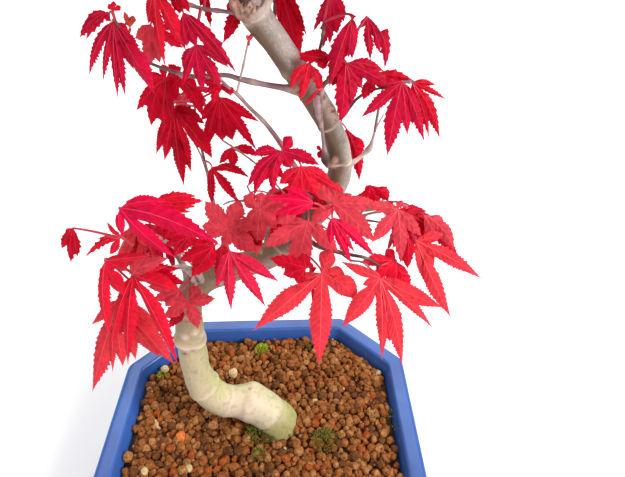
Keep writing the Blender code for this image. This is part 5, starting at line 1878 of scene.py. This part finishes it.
def tracedStalk(name, base, tips, normal, skeleton):
    # a curve from the nearest twig that meets the blade from behind, or from a set start in a low arch
    back = unit(-unit(tips - base).mean(axis=0) - normal * 0.6)
    if name in stalkFrom:
        *pixel, depth = stalkFrom[name]
        start = pointAtDepth(pixel, depth)
        rise = 0.06 * np.linalg.norm(start - base)
        control = (start + base) / 2 + np.array([0.0, 0.0, rise])
    else:
        start = nearestPoint(base, skeleton, back)
        control = base + back * np.linalg.norm(start - base) * 0.30
    return curveBetween(start, control, base + normal * 0.1, 14)


def buildPlant():
    # trunk and boughs, then twigs, stalks and leaves, all from one row of random draws
    draw = np.random.default_rng(sprays["seed"])
    bark = barkMaterial()
    trunkPart, trunkPath = buildTrunk(draw)
    boughParts, lines = buildBoughs(draw)
    barkPart = joinParts([trunkPart, buildStub(), buildSheath(), *boughParts])
    piece = addPiece("bark_trunk_and_boughs", barkPart, [bark])
    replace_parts(piece, *(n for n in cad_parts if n.startswith(("trunk", "bough"))))
    lines["trunk_tip"] = trunkPath[-40:]

    twigParts, skeleton = [], [np.vstack([path[8:] for path in lines.values()])]
    for thick, thin, tone, route in twigRoutes.values():
        path = seenRoute(route, twigs["step"])
        radius = np.linspace(thick, thin, len(path)) / 2
        twigParts.append(limbPart(path, radius, twigs["sides"], tone, draw, twigs["nodes"]))
        skeleton.append(path[4:])
    stalks, grown = [], {group: [] for group in leafGroups}
    inner = twigs["inner"]
    for group, names in leafGroups.items():
        for name in names:
            curves, petioles, leaves = growMass(name, lines, draw)
            for path in curves:
                radius = np.linspace(*inner["radii"], len(path))
                twigParts.append(limbPart(path, radius, inner["sides"], inner["tone"], draw, inner["nodes"]))
            skeleton += curves
            stalks += [(path, *sprays["petioleRadii"]) for path in petioles]
            grown[group] += foldedLeaves(leaves, draw)
    addPiece("twigs", joinParts(twigParts), [bark])

    skeleton = np.vstack(skeleton)
    heroes = {group: [] for group in leafGroups}
    for name, (away, hang, tint, fold, basePixel, lobes) in heroLeaves.items():
        base, tips, normal, widths, bows = heroShape(away, hang, basePixel, lobes)
        heroes[groupOf(base)].append((base, tips, normal, tint, fold, widths, bows))
        stalks.append((tracedStalk(name, base, tips, normal, skeleton), *sprays["tracedRadii"]))
    traced = tracedLobes()
    for group, names in leafGroups.items():
        for name in names:
            if name in sideLeaves["counts"]:
                petioles, leaves = growSideLeaves(name, skeleton, traced, draw)
                print(name, "side leaves", len(leaves))
                stalks += [(path, *sprays["petioleRadii"]) for path in petioles]
                grown[group] += foldedLeaves(leaves, draw)
    addPiece("petioles", thinTubes(stalks, 6), [petioleMaterial()])

    reds = []
    for tint, (bladeColour, ribColour) in leafColours.items():
        reds.append(leafMaterial("maple_leaf_" + tint, bladeColour))
        reds.append(leafRibMaterial("maple_rib_" + tint, ribColour))
    for group, names in leafGroups.items():
        kinds = ((heroes[group], 0), (grown[group], sprays["teeth"]))
        parts = [leafPart(leaves, teeth, draw) for leaves, teeth in kinds if leaves]
        piece = addPiece(group, joinParts(parts), reds, merge=0.004)
        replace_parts(piece, *names)


def buildFloor():
    # a flat square from evenly set lines both ways
    half, lines = studio["floorHalf"], studio["floorLines"]
    x, y = np.meshgrid(np.linspace(-half, half, lines), np.linspace(-half, half, lines))
    points = np.stack([x.ravel(), y.ravel(), np.zeros(x.size)], axis=1) * mm
    mesh = bpy.data.meshes.new("floor")
    mesh.from_pydata(points.tolist(), [], gridFaces(lines, lines, False).tolist())
    mesh.materials.append(floorMaterial())
    floor = bpy.data.objects.new("floor", mesh)
    bpy.context.scene.collection.objects.link(floor)


buildCamera()
buildLights()
buildFloor()
print("stage ready")
buildPot()
buildSoil()
buildBed()
buildMoss()
print("pot and soil ready")
buildPlant()
print("plant ready")
